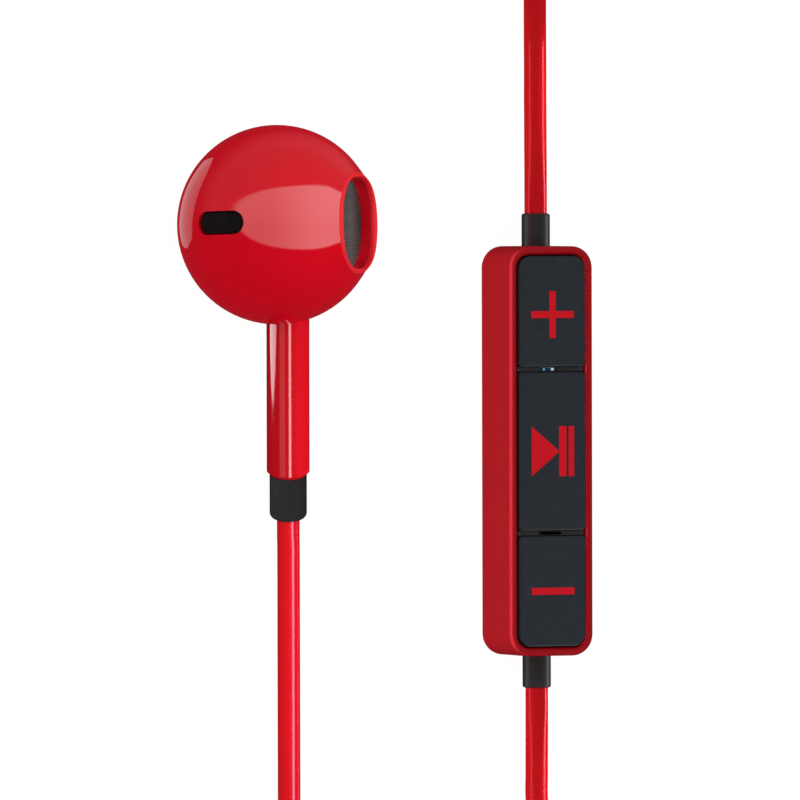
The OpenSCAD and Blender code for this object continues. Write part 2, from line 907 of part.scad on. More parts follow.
// The cone from the ball out to the nozzle's mouth, with its rounded lip
module nozzle_cone() {
    rotate_extrude() {
        polygon([
            [0, cone_from],
            [cone_r, cone_from],
            [cone_to_r, cone_to],
            [lip_ring_r, cone_to],
            [nozzle_r, lip_at - 0.1],
            [0, lip_at - 0.1]
        ]);
        translate([lip_ring_r, lip_at])
            circle(nozzle_lip_r);
    }
}

// The hollow of the front housing, from the driver out to the rim
module funnel() {
    funnel_from = mesh_front - mesh_t - funnel_len;
    rotate_extrude()
        polygon([
            [0, driver_front - cut],
            [spigot_bore_r, driver_front - cut],
            [spigot_bore_r, funnel_from],
            [mesh_r, mesh_front - mesh_t - fit],
            [mesh_r, mesh_front],
            [nozzle_r, mesh_front],
            [nozzle_r, nozzle_reach + cut],
            [0, nozzle_reach + cut]
        ]);
}

module rear_housing() {
    color(gloss_red)
        difference() {
            union() {
                along_nozzle()
                    intersection() {
                        sphere(head_r);
                        translate([0, 0, -head_r])
                            cylinder(r = head_r + cut, h = head_r + seam_at);
                    }
                translate([stem_offset, 0, -stem_end]) {
                    cylinder(r1 = stem_r - stem_edge, r2 = stem_r, h = stem_edge);
                    translate([0, 0, stem_edge])
                        cylinder(r = stem_r, h = stem_end - stem_edge - chamber_r + cut);
                }
            }
            along_nozzle()
                head_hollow();
            translate([stem_offset, 0, -stem_end - cut])
                cylinder(d = stem_bore_d, h = stem_end + cut - wire_top);
        }
}

// The hollow of the rear housing: back chamber, driver's seat and recess for the spigot
module head_hollow() {
    intersection() {
        sphere(chamber_r);
        translate([0, 0, -head_r])
            cylinder(r = head_r, h = head_r + ledge_back);
    }
    translate([0, 0, -cut])
        cylinder(r = spigot_bore_r, h = driver_seat + 2 * cut);
    translate([0, 0, driver_seat])
        cylinder(r = pocket_r, h = seam_at - driver_seat + cut);
    translate([0, 0, driver_front - fit])
        cylinder(r = recess_r, h = seam_at - driver_front + cut);
    vents(vent_len, vent_w);
}

// Two slots cut outwards through the head, one on each side
module vents(length, width) {
    for (side = [-1, 1])
        rotate([0, 0, 180 + side * vent_turn])
            rotate([0, vent_polar, 0])
                linear_extrude(head_r + cut)
                    slot_outline(length, width);
}

module nozzle_mesh() {
    color(mesh_grey)
        along_nozzle()
            translate([0, 0, mesh_front - mesh_t])
                cylinder(r = mesh_r - fit / 2, h = mesh_t);
}

// Each vent's mesh fills its slot and has a rim that is glued behind it
module vent_meshes() {
    color(mesh_grey)
        along_nozzle() {
            intersection() {
                shell(chamber_r - fit / 2, chamber_r - fit / 2 - mesh_t);
                vents(vent_len + 2 * vent_mesh_rim, vent_w + 2 * vent_mesh_rim);
            }
            intersection() {
                shell(head_r - vent_mesh_depth, chamber_r - fit / 2 - mesh_t / 2);
                vents(vent_len - 2 * fit, vent_w - 2 * fit);
            }
        }
}

module shell(outer, inner) {
    difference() {
        sphere(outer);
        sphere(inner);
    }
}

module driver_frame() {
    color("#d8d5cc")
        along_nozzle()
            translate([0, 0, driver_seat]) {
                ring(driver_r, driver_r - frame_wall, frame_h);
                ring(driver_r - frame_wall / 2, yoke_r + fit / 2, frame_floor);
            }
}

module yoke() {
    color("#a9adb1")
        along_nozzle()
            translate([0, 0, yoke_back]) {
                cylinder(r = yoke_r, h = yoke_floor);
                translate([0, 0, yoke_floor])
                    ring(yoke_r, yoke_inner_r, magnet_h + pole_h);
            }
}

module magnet() {
    color("#777b80")
        along_nozzle()
            translate([0, 0, magnet_back])
                cylinder(r = magnet_r, h = magnet_h);
}

module pole_plate() {
    color("#8f9397")
        along_nozzle()
            translate([0, 0, magnet_back + magnet_h])
                cylinder(r = pole_r, h = pole_h);
}

module voice_coil() {
    color("#b5703a")
        along_nozzle()
            translate([0, 0, frame_top - coil_h])
                ring(coil_outer_r, coil_inner_r, coil_h);
}

// A film with a flat rim, a raised surround and a domed middle, glued to the voice coil
module diaphragm() {
    surround_out = driver_r - frame_wall;
    surround_in = coil_outer_r + 2 * fit;
    surround_mid = (surround_out + surround_in) / 2;
    dome_edge = coil_inner_r - 2 * fit;
    color("#cfd6d8")
        along_nozzle()
            translate([0, 0, frame_top])
                rotate_extrude()
                    polygon([
                        [0, film_rise],
                        [dome_edge / 2, film_rise * 0.75],
                        [dome_edge, 0],
                        [surround_in, 0],
                        [surround_mid, film_rise],
                        [surround_out, 0],
                        [film_r, 0],
                        [film_r, film_t],
                        [surround_out, film_t],
                        [surround_mid, film_rise + film_t],
                        [surround_in, film_t],
                        [dome_edge, film_t],
                        [dome_edge / 2, film_rise * 0.75 + film_t],
                        [0, film_rise + film_t]
                    ]);
}

module driver_cover() {
    color("#b9bdc1")
        along_nozzle()
            translate([0, 0, film_top])
                difference() {
                    cylinder(r = driver_r, h = cover_h);
                    translate([0, 0, -cut])
                        cylinder(r = driver_r - frame_wall, h = cover_h - cover_t + cut);
                    cylinder(d = cover_hole_d, h = cover_h + cut);
                    for (i = [0 : cover_holes - 1])
                        rotate([0, 0, i * 360 / cover_holes])
                            translate([cover_hole_r, 0, 0])
                                cylinder(d = cover_hole_d, h = cover_h + cut);
                }
}

module terminal_board() {
    color("#2f6b3d")
        along_nozzle()
            translate([-terminal_low - terminal_h, -terminal_w / 2, driver_seat - terminal_t])
                cube([terminal_h, terminal_w, terminal_t]);
}

module lead_wires() {
    color("#c07a3f")
        for (side = [-1, 1])
            translate([stem_offset + wire_offset, side * wire_pitch / 2, -stem_end + relief_shank])
                cylinder(d = wire_d, h = stem_end - relief_shank - wire_top);
}

module relief() {
    color(relief_black)
        translate([stem_offset, 0, -stem_end]) {
            mirror([0, 0, 1])
                round_ended_rod(relief_d / 2, relief_len, relief_edge);
            cylinder(d = shank_d, h = relief_shank);
        }
}

// ---- Cords ----

module left_cord() {
    color(cord_red)
        tube(left_path, cord_r, tube_sides);
}

module cord_coil() {
    color(cord_red)
        tube(coil_path, cord_r, coil_sides);
}

module control_cord() {
    color(cord_red)
        tube(control_path, cord_r, tube_sides);
}

module right_cord() {
    color(cord_red)
        tube(right_path, cord_r, tube_sides);
}

control_housing();
key_frame();
plus_key();
play_key();
minus_key();
plus_symbol();
play_symbol();
minus_symbol();
circuit_board();
key_domes();
light_pipe();
lamp_diodes();
microphone();
radio_module();
chip_antenna();
battery();
battery_pad();
charging_port();
contact_tongue();
board_leads();
top_relief();
bottom_relief();
left() front_housing();  // left_front_housing
left() rear_housing();  // left_rear_housing
left() nozzle_mesh();  // left_nozzle_mesh
left() vent_meshes();  // left_vent_meshes
left() driver_frame();  // left_driver_frame
left() yoke();  // left_yoke
left() magnet();  // left_magnet
left() pole_plate();  // left_pole_plate
left() voice_coil();  // left_voice_coil
left() diaphragm();  // left_diaphragm
left() driver_cover();  // left_driver_cover
left() terminal_board();  // left_terminal_board
left() lead_wires();  // left_lead_wires
left() relief();  // left_relief
right() front_housing();  // right_front_housing
right() rear_housing();  // right_rear_housing
right() nozzle_mesh();  // right_nozzle_mesh
right() vent_meshes();  // right_vent_meshes
right() driver_frame();  // right_driver_frame
right() yoke();  // right_yoke
right() magnet();  // right_magnet
right() pole_plate();  // right_pole_plate
right() voice_coil();  // right_voice_coil
right() diaphragm();  // right_diaphragm
right() driver_cover();  // right_driver_cover
right() terminal_board();  // right_terminal_board
right() lead_wires();  // right_lead_wires
right() relief();  // right_relief
left_cord();
cord_coil();
control_cord();
right_cord();
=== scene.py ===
"""Looks of the wired earphones: cords, glossy shells, black keys, meshes, floor, light and camera.

Lengths are in metres in the part's own frame: the origin is the centre of the control's flat back.
"""

import json
import math

import bmesh
import bpy
import numpy as np
from mathutils import Matrix, Vector

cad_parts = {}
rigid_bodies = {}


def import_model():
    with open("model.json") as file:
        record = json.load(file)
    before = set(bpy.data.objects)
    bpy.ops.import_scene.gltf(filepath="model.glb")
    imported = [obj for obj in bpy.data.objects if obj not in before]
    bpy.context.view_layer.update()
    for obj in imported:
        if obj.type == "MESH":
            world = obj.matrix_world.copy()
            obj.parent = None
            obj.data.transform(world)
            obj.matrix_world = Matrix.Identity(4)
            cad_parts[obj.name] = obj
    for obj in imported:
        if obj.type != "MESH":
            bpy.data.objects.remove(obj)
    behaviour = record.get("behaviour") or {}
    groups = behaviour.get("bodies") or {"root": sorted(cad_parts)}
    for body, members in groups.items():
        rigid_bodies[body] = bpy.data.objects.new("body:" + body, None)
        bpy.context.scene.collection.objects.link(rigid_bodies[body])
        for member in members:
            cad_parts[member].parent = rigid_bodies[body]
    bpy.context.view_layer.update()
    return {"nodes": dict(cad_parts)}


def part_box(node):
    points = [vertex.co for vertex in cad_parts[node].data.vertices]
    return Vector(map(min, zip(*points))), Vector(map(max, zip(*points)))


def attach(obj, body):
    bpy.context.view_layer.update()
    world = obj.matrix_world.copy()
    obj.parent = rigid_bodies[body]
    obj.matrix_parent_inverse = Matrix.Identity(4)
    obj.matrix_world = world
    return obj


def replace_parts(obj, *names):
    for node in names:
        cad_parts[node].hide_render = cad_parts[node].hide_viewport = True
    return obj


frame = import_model()
MM = 0.001
BODY = "earphones"
SHARP_ANGLE = 50
scene = bpy.context.scene

# ---------------------------------------------------------------- camera

LENS, SENSOR = 600.0, 36.0
CLIP_NEAR, CLIP_FAR = 0.01, 20.0
VIEW_WIDTH = 74.0 * MM
LOOK_AT = Vector((-13.91, 4.83, 3.35)) * MM
YAW, PITCH, ROLL = math.radians(24.0), math.radians(1.0), math.radians(-0.14)
toward = Vector(
    (-math.sin(YAW) * math.cos(PITCH), math.sin(PITCH), math.cos(YAW) * math.cos(PITCH))
)
right = Vector((0, 1, 0)).cross(toward).normalized()
up = toward.cross(right)
camera = bpy.data.objects.new("camera", bpy.data.cameras.new("camera"))
camera.data.lens = LENS
camera.data.sensor_width = SENSOR
camera.data.clip_start = CLIP_NEAR
camera.data.clip_end = CLIP_FAR
eye = LOOK_AT + toward * (VIEW_WIDTH * LENS / SENSOR)
camera.matrix_world = (
    Matrix.Translation(eye)
    @ Matrix((right, up, toward)).transposed().to_4x4()
    @ Matrix.Rotation(ROLL, 4, "Z")
)
scene.collection.objects.link(camera)
scene.camera = camera

# ---------------------------------------------------------------- where the earpieces lie

HEAD_R = 9.15 * MM
# Degrees: the stem's slope, the roll about it, and the nozzle's rise from square to it
REST_SLOPE, NOZZLE_ROLL, NOZZLE_TILT = 16.780065, 43.8, 7.4
STEM_OFFSET, STEM_END, RELIEF_LEN = 1.05 * MM, 24.15 * MM, 4.25 * MM
RELIEF_END = STEM_END + RELIEF_LEN
RUN_OUT = 1.9 * MM
LEFT_AT, LEFT_HEADING = Vector((-28.8, 21.12, 9.15)) * MM, 7.5
RIGHT_AT, RIGHT_HEADING = Vector((-17, 56, 9.15)) * MM, 180.0


def lay(at, heading):
    """Matrix from an upright earpiece (stem down -Z, nozzle towards +X) to where it lies."""
    turn = math.radians
    return (
        Matrix.Translation(at)
        @ Matrix.Rotation(turn(heading), 4, "Z")
        @ Matrix.Rotation(turn(REST_SLOPE - 90), 4, "X")
        @ Matrix.Rotation(turn(-NOZZLE_ROLL), 4, "Z")
    )


SIDES = {"left": lay(LEFT_AT, LEFT_HEADING), "right": lay(RIGHT_AT, RIGHT_HEADING)}
ALONG_NOZZLE = Matrix.Rotation(math.radians(90 - NOZZLE_TILT), 4, "Y")

# ---------------------------------------------------------------- cords

CORD_D, CORD_SIDES = 2.1 * MM, 24
# The rest of this section is in mm: heights, the straight runs' places, and the coil of two layers
CORD_Z = 1.06
GROMMET_Z = 3.2
GROMMET_END = 22.03
LEFT_RUN_X, RIGHT_RUN_X = -24.2, 0.95
TURN_PITCH, COIL_R, LAYER_TURNS, LIFT_TURNS = 2.6, 14.0, 2.5, 0.5
COIL_LEAD, STEPS_PER_TURN = 2.1, 96
COIL_AT = (-10.2, -49.6, CORD_Z)
COIL_INNER = COIL_R - TURN_PITCH * LAYER_TURNS
COIL_TURNS = 2 * LAYER_TURNS + LIFT_TURNS


def coil_point(t):
    """The coil after t turns: inwards, up a layer where it turns back, and outwards."""
    if t < LAYER_TURNS:
        radius, rise = COIL_R - TURN_PITCH * t, 0.0
    elif t < LAYER_TURNS + LIFT_TURNS:
        a = 2 * math.pi * (t - LAYER_TURNS)
        radius = COIL_INNER - TURN_PITCH / (2 * math.pi) * math.sin(a)
        rise = TURN_PITCH * (1 - math.cos(a)) / 2
    else:
        radius = COIL_INNER + TURN_PITCH * (t - LAYER_TURNS - LIFT_TURNS)
        rise = TURN_PITCH
    a = math.pi + 2 * math.pi * t
    return (
        COIL_AT[0] + radius * math.cos(a),
        COIL_AT[1] + radius * math.sin(a),
        COIL_AT[2] + rise,
    )


def relief_exit(side, out):
    """Where an earpiece's cord starts, or the point of its straight run that is out from it."""
    return tuple(SIDES[side] @ Vector((STEM_OFFSET, 0, -RELIEF_END - out)) / MM)


def smooth(points, step=0.7, floor=CORD_Z, ends=3):
    """A smooth line through the points, about step apart. It never sinks below the surface that it
    lies on, apart from its first and last few points, which stay with the strain reliefs."""
    p = np.array(points, float)
    p = np.vstack([2 * p[0] - p[1], p, 2 * p[-1] - p[-2]])
    out = []
    for i in range(1, len(p) - 2):
        a, b, c, d = p[i - 1], p[i], p[i + 1], p[i + 2]
        k = [0.0]
        for u, v in ((a, b), (b, c), (c, d)):
            k.append(k[-1] + np.linalg.norm(v - u) ** 0.5)
        n = max(2, int(round(np.linalg.norm(c - b) / step)))
        for t in np.linspace(k[1], k[2], n, endpoint=False):

            def mix(u, v, s, e, t=t):
                return ((e - t) * u + (t - s) * v) / (e - s)

            ab, bc, cd = mix(a, b, k[0], k[1]), mix(b, c, k[1], k[2]), mix(c, d, k[2], k[3])
            out.append(mix(mix(ab, bc, k[0], k[2]), mix(bc, cd, k[1], k[3]), k[1], k[2]))
    out.append(p[-2])
    out = np.array(out)
    out[ends:-ends, 2] = np.maximum(out[ends:-ends, 2], floor)
    return out


coil_start = np.array(coil_point(0)) + (0, COIL_LEAD, 0)
coil_end = np.array(coil_point(COIL_TURNS)) + (0, COIL_LEAD, 0)
left_route = [
    relief_exit("left", 0),
    relief_exit("left", RUN_OUT),
    *[(LEFT_RUN_X, y, CORD_Z) for y in (-11, -16, -21, -26, -31, -36, -41, -45)],
    tuple(coil_start),
]
control_route = [
    tuple(coil_end),
    tuple(coil_end + (0, COIL_LEAD, 0)),
    (3.5, -42.4, 3.1),
    (3, -39.8, 2.1),
    (2.3, -37.2, 1.3),
    (1.3, -34.8, CORD_Z),
    (0.95, -32.4, CORD_Z),
    (0.85, -30.2, 1.3),
    (0.58, -28.2, 1.9),
    (0.27, -26.2, 2.6),
    (0, -24.2, GROMMET_Z),
    (0, -GROMMET_END, GROMMET_Z),
]
right_route = [
    (0, GROMMET_END, GROMMET_Z),
    (0, 24.2, GROMMET_Z),
    (0.27, 26.4, 2.6),
    (0.58, 28.6, 1.9),
    (0.85, 30.8, 1.3),
    *[
        (RIGHT_RUN_X, y, CORD_Z)
        for y in (33.6, 38.6, 43.6, 48.6, 53.6, 58.6, 63.6, 68.6, 73.6, 78.6, 83.4)
    ],
    (0.7, 88, CORD_Z),
    (-0.6, 92.2, CORD_Z),
    (-3.4, 95.6, CORD_Z),
    (-7.4, 97.2, CORD_Z),
    (-11.6, 96.4, CORD_Z),
    (-15, 93.8, CORD_Z),
    (-17.1, 90.4, CORD_Z),
    (-17.8, 87.2, CORD_Z),
    relief_exit("right", RUN_OUT),
    relief_exit("right", 0),
]
coil_line = np.array(
    [coil_point(i / STEPS_PER_TURN) for i in range(int(COIL_TURNS * STEPS_PER_TURN) + 1)]
)
left_line = np.vstack([smooth(left_route), coil_line, smooth(control_route)]) * MM
right_line = smooth(right_route) * MM


def new_object(name, verts, faces, smooth_faces=True):
    mesh = bpy.data.meshes.new(name)
    mesh.from_pydata([tuple(v) for v in verts], [], [tuple(f) for f in faces])
    mesh.update()
    if smooth_faces:
        mesh.shade_smooth()
    obj = bpy.data.objects.new(name, mesh)
    scene.collection.objects.link(obj)
    return obj


def sweep(name, line, radius, sides=CORD_SIDES, nearest=0.05 * MM):
    """A round tube along a line, with flat closed ends. Points that are too near are left out."""
    keep = [0]
    for i in range(1, len(line)):
        if np.linalg.norm(line[i] - line[keep[-1]]) > nearest:
            keep.append(i)
    line = line[keep]
    along = np.gradient(line, axis=0)
    along /= np.linalg.norm(along, axis=1)[:, None]
    along[0] = (line[1] - line[0]) / np.linalg.norm(line[1] - line[0])
    along[-1] = (line[-1] - line[-2]) / np.linalg.norm(line[-1] - line[-2])
    verts, faces = [], []
    for p, a in zip(line, along):
        side = np.cross((0, 0, 1), a)
        side /= np.linalg.norm(side)
        top = np.cross(a, side)
        for j in range(sides):
            t = 2 * math.pi * j / sides
            verts.append(p + radius * (math.cos(t) * side + math.sin(t) * top))
    for i in range(len(line) - 1):
        for j in range(sides):
            a, b = i * sides + j, i * sides + (j + 1) % sides
            faces.append((a, b, b + sides, a + sides))
    last = (len(line) - 1) * sides
    faces.append(tuple(range(sides))[::-1])
    faces.append(tuple(last + j for j in range(sides)))
    obj = new_object(name, verts, faces)
    obj.data.set_sharp_from_angle(angle=math.radians(SHARP_ANGLE))
    return obj


left_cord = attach(sweep("long_cord", left_line, CORD_D / 2), BODY)
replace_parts(left_cord, "left_cord", "cord_coil", "control_cord")
right_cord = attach(sweep("short_cord", right_line, CORD_D / 2), BODY)
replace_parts(right_cord, "right_cord")

# ---------------------------------------------------------------- materials


def nodes_of(material):
    material.use_nodes = True
    tree = material.node_tree
    return tree, tree.nodes["Principled BSDF"]


def node(tree, kind, **values):
    made = tree.nodes.new(kind)
    for name, value in values.items():
        if hasattr(made, name):
            setattr(made, name, value)
        else:
            made.inputs[name.replace("_", " ")].default_value = value
    return made


def calc(tree, op, *values):
    """A sum or a function of sockets and plain numbers."""
    made = node(tree, "ShaderNodeMath", operation=op)
    for i, v in enumerate(values):
        if hasattr(v, "is_output"):
            tree.links.new(v, made.inputs[i])
        else:
            made.inputs[i].default_value = v
    return made.outputs[0]


def smoothstep(tree, value, low, high):
    made = node(tree, "ShaderNodeMapRange", interpolation_type="SMOOTHSTEP")
    made.inputs["From Min"].default_value = low
    made.inputs["From Max"].default_value = high
    tree.links.new(value, made.inputs["Value"])
    return made.outputs["Result"]


def blend(tree, kind, a, b):
    """Two colours multiplied or added."""
    made = node(tree, "ShaderNodeMix", data_type="RGBA", blend_type=kind)
    made.inputs["Factor"].default_value = 1.0
    tree.links.new(a, made.inputs["A"])
    tree.links.new(b, made.inputs["B"])
    return made.outputs["Result"]


def places(tree, kind="Object"):
    """The piece's own coordinates, apart."""
    where = node(tree, "ShaderNodeTexCoord")
    apart = node(tree, "ShaderNodeSeparateXYZ")
    tree.links.new(where.outputs[kind], apart.inputs["Vector"])
    return apart.outputs


DRIFT_FROM, DRIFT_TO, BEVEL_SAMPLES = 0.3, 0.7, 6


def surface(
    name,
    color,
    rough,
    metallic=0.0,
    mottle=0.06,
    mottle_scale=250.0,
    grain=4000.0,
    grain_depth=0.004,
    rough_spread=0.06,
    coat=0.0,
    edge=0.0,
    **sockets,
):
    """A moulded, painted or metal surface: its colour drifts a little, its roughness varies, and it
    has a fine grain. mottle_scale and grain are in noise cells per metre, grain_depth and edge are
    in millimetres. sockets are other values of the shader, with _ for a space."""
    material = bpy.data.materials.new(name)
    tree, shader = nodes_of(material)
    link = tree.links.new
    where = node(tree, "ShaderNodeTexCoord")
    drift = node(tree, "ShaderNodeTexNoise", Scale=mottle_scale, Detail=4.0, Roughness=0.6)
    link(where.outputs["Object"], drift.inputs["Vector"])
    ramp = node(tree, "ShaderNodeValToRGB")
    low, high = ramp.color_ramp.elements
    low.position, high.position = DRIFT_FROM, DRIFT_TO
    low.color = (*[c * (1 - mottle) for c in color], 1)
    high.color = (*[min(1.0, c * (1 + mottle)) for c in color], 1)
    link(drift.outputs["Fac"], ramp.inputs["Fac"])
    link(ramp.outputs["Color"], shader.inputs["Base Color"])
    fine = node(tree, "ShaderNodeTexNoise", Scale=grain, Detail=3.0, Roughness=0.55)
    link(where.outputs["Object"], fine.inputs["Vector"])
    spread = node(tree, "ShaderNodeMapRange")
    spread.inputs["To Min"].default_value = max(0.0, rough - rough_spread)
    spread.inputs["To Max"].default_value = rough + rough_spread
    link(fine.outputs["Fac"], spread.inputs["Value"])
    link(spread.outputs["Result"], shader.inputs["Roughness"])
    bump = node(tree, "ShaderNodeBump", Strength=1.0, Distance=grain_depth * MM)
    link(fine.outputs["Fac"], bump.inputs["Height"])
    if edge:
        soft = node(tree, "ShaderNodeBevel", samples=BEVEL_SAMPLES, Radius=edge * MM)
        link(soft.outputs["Normal"], bump.inputs["Normal"])
        link(soft.outputs["Normal"], shader.inputs["Coat Normal"])
    link(bump.outputs["Normal"], shader.inputs["Normal"])
    shader.inputs["Metallic"].default_value = metallic
    shader.inputs["Coat Weight"].default_value = coat
    for key, value in sockets.items():
        shader.inputs[key.replace("_", " ")].default_value = value
    return material


# The bump's depth and strength, how far one wire passes over the next, and the heights of the
# wave below which all is hole and above which all is wire
WEAVE_DEPTH, WEAVE_BUMP, CROSSING = 0.08 * MM, 0.9, 0.35
HOLE_HEIGHT, WIRE_HEIGHT = -0.35, 0.55


def weave(name, wire, hole, pitch, rough=0.4, painted_light_and_shade=None):
    """A woven wire mesh in the piece's own XY plane: wires over holes painted dark, with a pitch in
    mm.
    The holes' dark is painted shade of the space behind. The last argument lists (x in mm, colour)
    pairs of painted light and shade, which the colour is multiplied by along the mesh's own X."""
    material = bpy.data.materials.new(name)
    tree, shader = nodes_of(material)
    link = tree.links.new
    at = places(tree)

    def wave(axis, times):
        phase = calc(tree, "MULTIPLY", at[axis], times * math.pi / (pitch * MM))
        return calc(tree, "COSINE", phase)

    warp, weft = wave("X", 2), wave("Y", 2)
    over = calc(tree, "MULTIPLY", calc(tree, "MULTIPLY", wave("X", 1), wave("Y", 1)), CROSSING)
    height = calc(
        tree, "MAXIMUM", calc(tree, "ADD", warp, over), calc(tree, "SUBTRACT", weft, over)
    )
    ramp = node(tree, "ShaderNodeValToRGB")
    ramp.color_ramp.elements[0].color = (*hole, 1)
    ramp.color_ramp.elements[1].color = (*wire, 1)
    link(smoothstep(tree, height, HOLE_HEIGHT, WIRE_HEIGHT), ramp.inputs["Fac"])
    base = ramp.outputs["Color"]
    # Painted light and shade along X, which the mesh's colour is multiplied by
    if painted_light_and_shade:
        first, last = painted_light_and_shade[0][0], painted_light_and_shade[-1][0]
        across = node(tree, "ShaderNodeMapRange")
        across.inputs["From Min"].default_value = first * MM
        across.inputs["From Max"].default_value = last * MM
        link(at["X"], across.inputs["Value"])
        painted_shading = node(tree, "ShaderNodeValToRGB")
        stops = painted_shading.color_ramp.elements
        stops[0].color, stops[1].color = (*painted_light_and_shade[0][1], 1), (*painted_light_and_shade[-1][1], 1)
        for x, color in painted_light_and_shade[1:-1]:
            stops.new((x - first) / (last - first)).color = (*color, 1)
        link(across.outputs["Result"], painted_shading.inputs["Fac"])
        base = blend(tree, "MULTIPLY", base, painted_shading.outputs["Color"])
    link(base, shader.inputs["Base Color"])
    bump = node(tree, "ShaderNodeBump", Strength=WEAVE_BUMP, Distance=WEAVE_DEPTH)
    link(height, bump.inputs["Height"])
    link(bump.outputs["Normal"], shader.inputs["Normal"])
    shader.inputs["Roughness"].default_value = rough
    return material


POLISHED = {"mottle": 0.02, "grain": 2500.0, "grain_depth": 0.0004, "rough_spread": 0.03}
shell_red = surface("shell_red", (0.46, 0.0018, 0.0086), 0.06, mottle_scale=120.0, **POLISHED)
stem_red = surface("stem_red", (0.4, 0.0035, 0.0085), 0.09, mottle_scale=150.0, **POLISHED)
# The lip is the shell's red plastic, painted lighter and paler than the shell: a painted highlight
# and sheen where light falls on the ring
lip_red_painted_bright = surface(
    "lip_red_painted_bright", (0.62, 0.014, 0.022), 0.3, mottle_scale=150.0, Specular_IOR_Level=0.1, **POLISHED
)
control_red = surface(
    "control_red", (0.41, 0.004, 0.0095), 0.36, mottle=0.03, mottle_scale=300.0, grain=9000.0,
    grain_depth=0.0015, rough_spread=0.06, edge=0.1, Specular_IOR_Level=0.12,
)
cord_red = surface(
    "cord_red", (0.6, 0.0045, 0.0085), 0.17, mottle=0.04, mottle_scale=400.0, grain=6000.0,
    grain_depth=0.002, rough_spread=0.06, Specular_IOR_Level=0.3,
)
symbol_red = surface(
    "symbol_red", (0.74, 0.0115, 0.022), 0.42, mottle=0.04, mottle_scale=2500.0, grain=12000.0,
    grain_depth=0.003, Specular_IOR_Level=0.03,
)
MATT = {
    "mottle": 0.1, "mottle_scale": 1500.0, "grain": 16000.0, "grain_depth": 0.004,
    "rough_spread": 0.1, "Specular_IOR_Level": 0.15,
}
key_black = surface("key_black", (0.031, 0.037, 0.046), 0.5, edge=0.06, **MATT)
# The key frame is painted about twice as light as the keys' black: painted light in the grooves
# between the keys, which lie in their shade
frame_black_painted_light = surface("frame_black_painted_light", (0.062, 0.064, 0.067), 0.5, **MATT)
relief_black = surface(
    "relief_black", (0.037, 0.037, 0.038), 0.38, mottle=0.12, mottle_scale=1200.0, grain=12000.0,
    grain_depth=0.004, rough_spread=0.1, edge=0.06,
)
# The nozzle mesh: holes painted dark as shade, and painted light and shade along its X, a painted
# highlight a little past the middle and a painted shadow of the bore's wall towards +X
mesh_wire = weave(
    "mesh_wire", (0.18, 0.182, 0.182), (0.02, 0.02, 0.02), 0.2,
    painted_light_and_shade=[
        (-4.4, (0.45, 0.75, 0.77)),
        (0.0, (0.51, 0.8, 0.82)),
        (1.3, (0.74, 0.945, 0.92)),
        (2.6, (0.5, 0.5, 0.48)),
        (4.4, (0.12, 0.1, 0.09)),
    ],
)
# The vents' mesh: near black wires, with holes painted darker still, painted shade of the space
# behind
vent_wire = weave("vent_wire", (0.018, 0.0172, 0.018), (0.002, 0.002, 0.002), 0.22, rough=0.6)
steel = surface(
    "bright_steel", (0.58, 0.59, 0.60), 0.3, metallic=1.0, mottle=0.08, mottle_scale=1500.0,
    grain=9000.0, grain_depth=0.003, edge=0.04,
)
plated = surface("plated_iron", (0.45, 0.46, 0.48), 0.32, metallic=1.0, mottle=0.08, grain=7000.0)
magnet = surface("magnet", (0.33, 0.34, 0.35), 0.28, metallic=1.0, mottle=0.1, grain=7000.0)
copper = surface("copper", (0.62, 0.28, 0.12), 0.35, metallic=1.0, mottle=0.12, grain=9000.0)
foil = surface(
    "cell_foil", (0.56, 0.58, 0.61), 0.38, metallic=0.9, mottle=0.1, grain=3000.0, grain_depth=0.02
)
thin_metal = surface("thin_metal", (0.60, 0.61, 0.63), 0.3, metallic=1.0, mottle=0.08, grain=8000.0)
board = surface(
    "board_green", (0.02, 0.13, 0.05), 0.35, mottle=0.2, mottle_scale=1800.0, grain=5000.0,
    coat=0.3,
)
white = surface("white_resin", (0.68, 0.67, 0.62), 0.5, mottle=0.04, grain=9000.0)
ceramic = surface("white_ceramic", (0.78, 0.76, 0.70), 0.4, mottle=0.05, grain=9000.0)
black_resin = surface("black_resin", (0.014, 0.014, 0.015), 0.45, mottle=0.15, grain=12000.0)
foam = surface(
    "black_foam", (0.03, 0.03, 0.03), 0.9, mottle=0.3, mottle_scale=4000.0, grain=5000.0,
    grain_depth=0.05,
)
film = surface("film", (0.72, 0.75, 0.78), 0.25, mottle=0.06, grain=3000.0, grain_depth=0.01)
gold = surface("gold_contacts", (0.83, 0.60, 0.22), 0.28, metallic=1.0, mottle=0.06, grain=9000.0)

# Where the halo lies between a spot's rim (0) and its middle (1), and its share of the strength
HALO_AT, HALO_SHARE = 0.45, 0.6


def lit_resin(name, spots, base):
    """Clear resin lit from below at some places along X. Each spot is (x, width, colour, strength),
    with x and width in mm."""
    material = bpy.data.materials.new(name)
    tree, shader = nodes_of(material)
    at = places(tree)
    total = None
    for x, width, color, strength in spots:
        far = calc(tree, "ABSOLUTE", calc(tree, "SUBTRACT", at["X"], x * MM))
        ramp = node(tree, "ShaderNodeValToRGB")
        ramp.color_ramp.elements[0].color = (0, 0, 0, 1)
        ramp.color_ramp.elements[1].color = (*[c * strength for c in color], 1)
        halo = ramp.color_ramp.elements.new(HALO_AT)
        halo.color = (*[c * c * strength * HALO_SHARE for c in color], 1)
        tree.links.new(smoothstep(tree, far, width * MM, 0.0), ramp.inputs["Fac"])
        light = ramp.outputs["Color"]
        total = light if total is None else blend(tree, "ADD", total, light)
    tree.links.new(total, shader.inputs["Emission Color"])
    shader.inputs["Emission Strength"].default_value = 1.0
    shader.inputs["Base Color"].default_value = (*base, 1)
    shader.inputs["Roughness"].default_value = 0.2
    return material


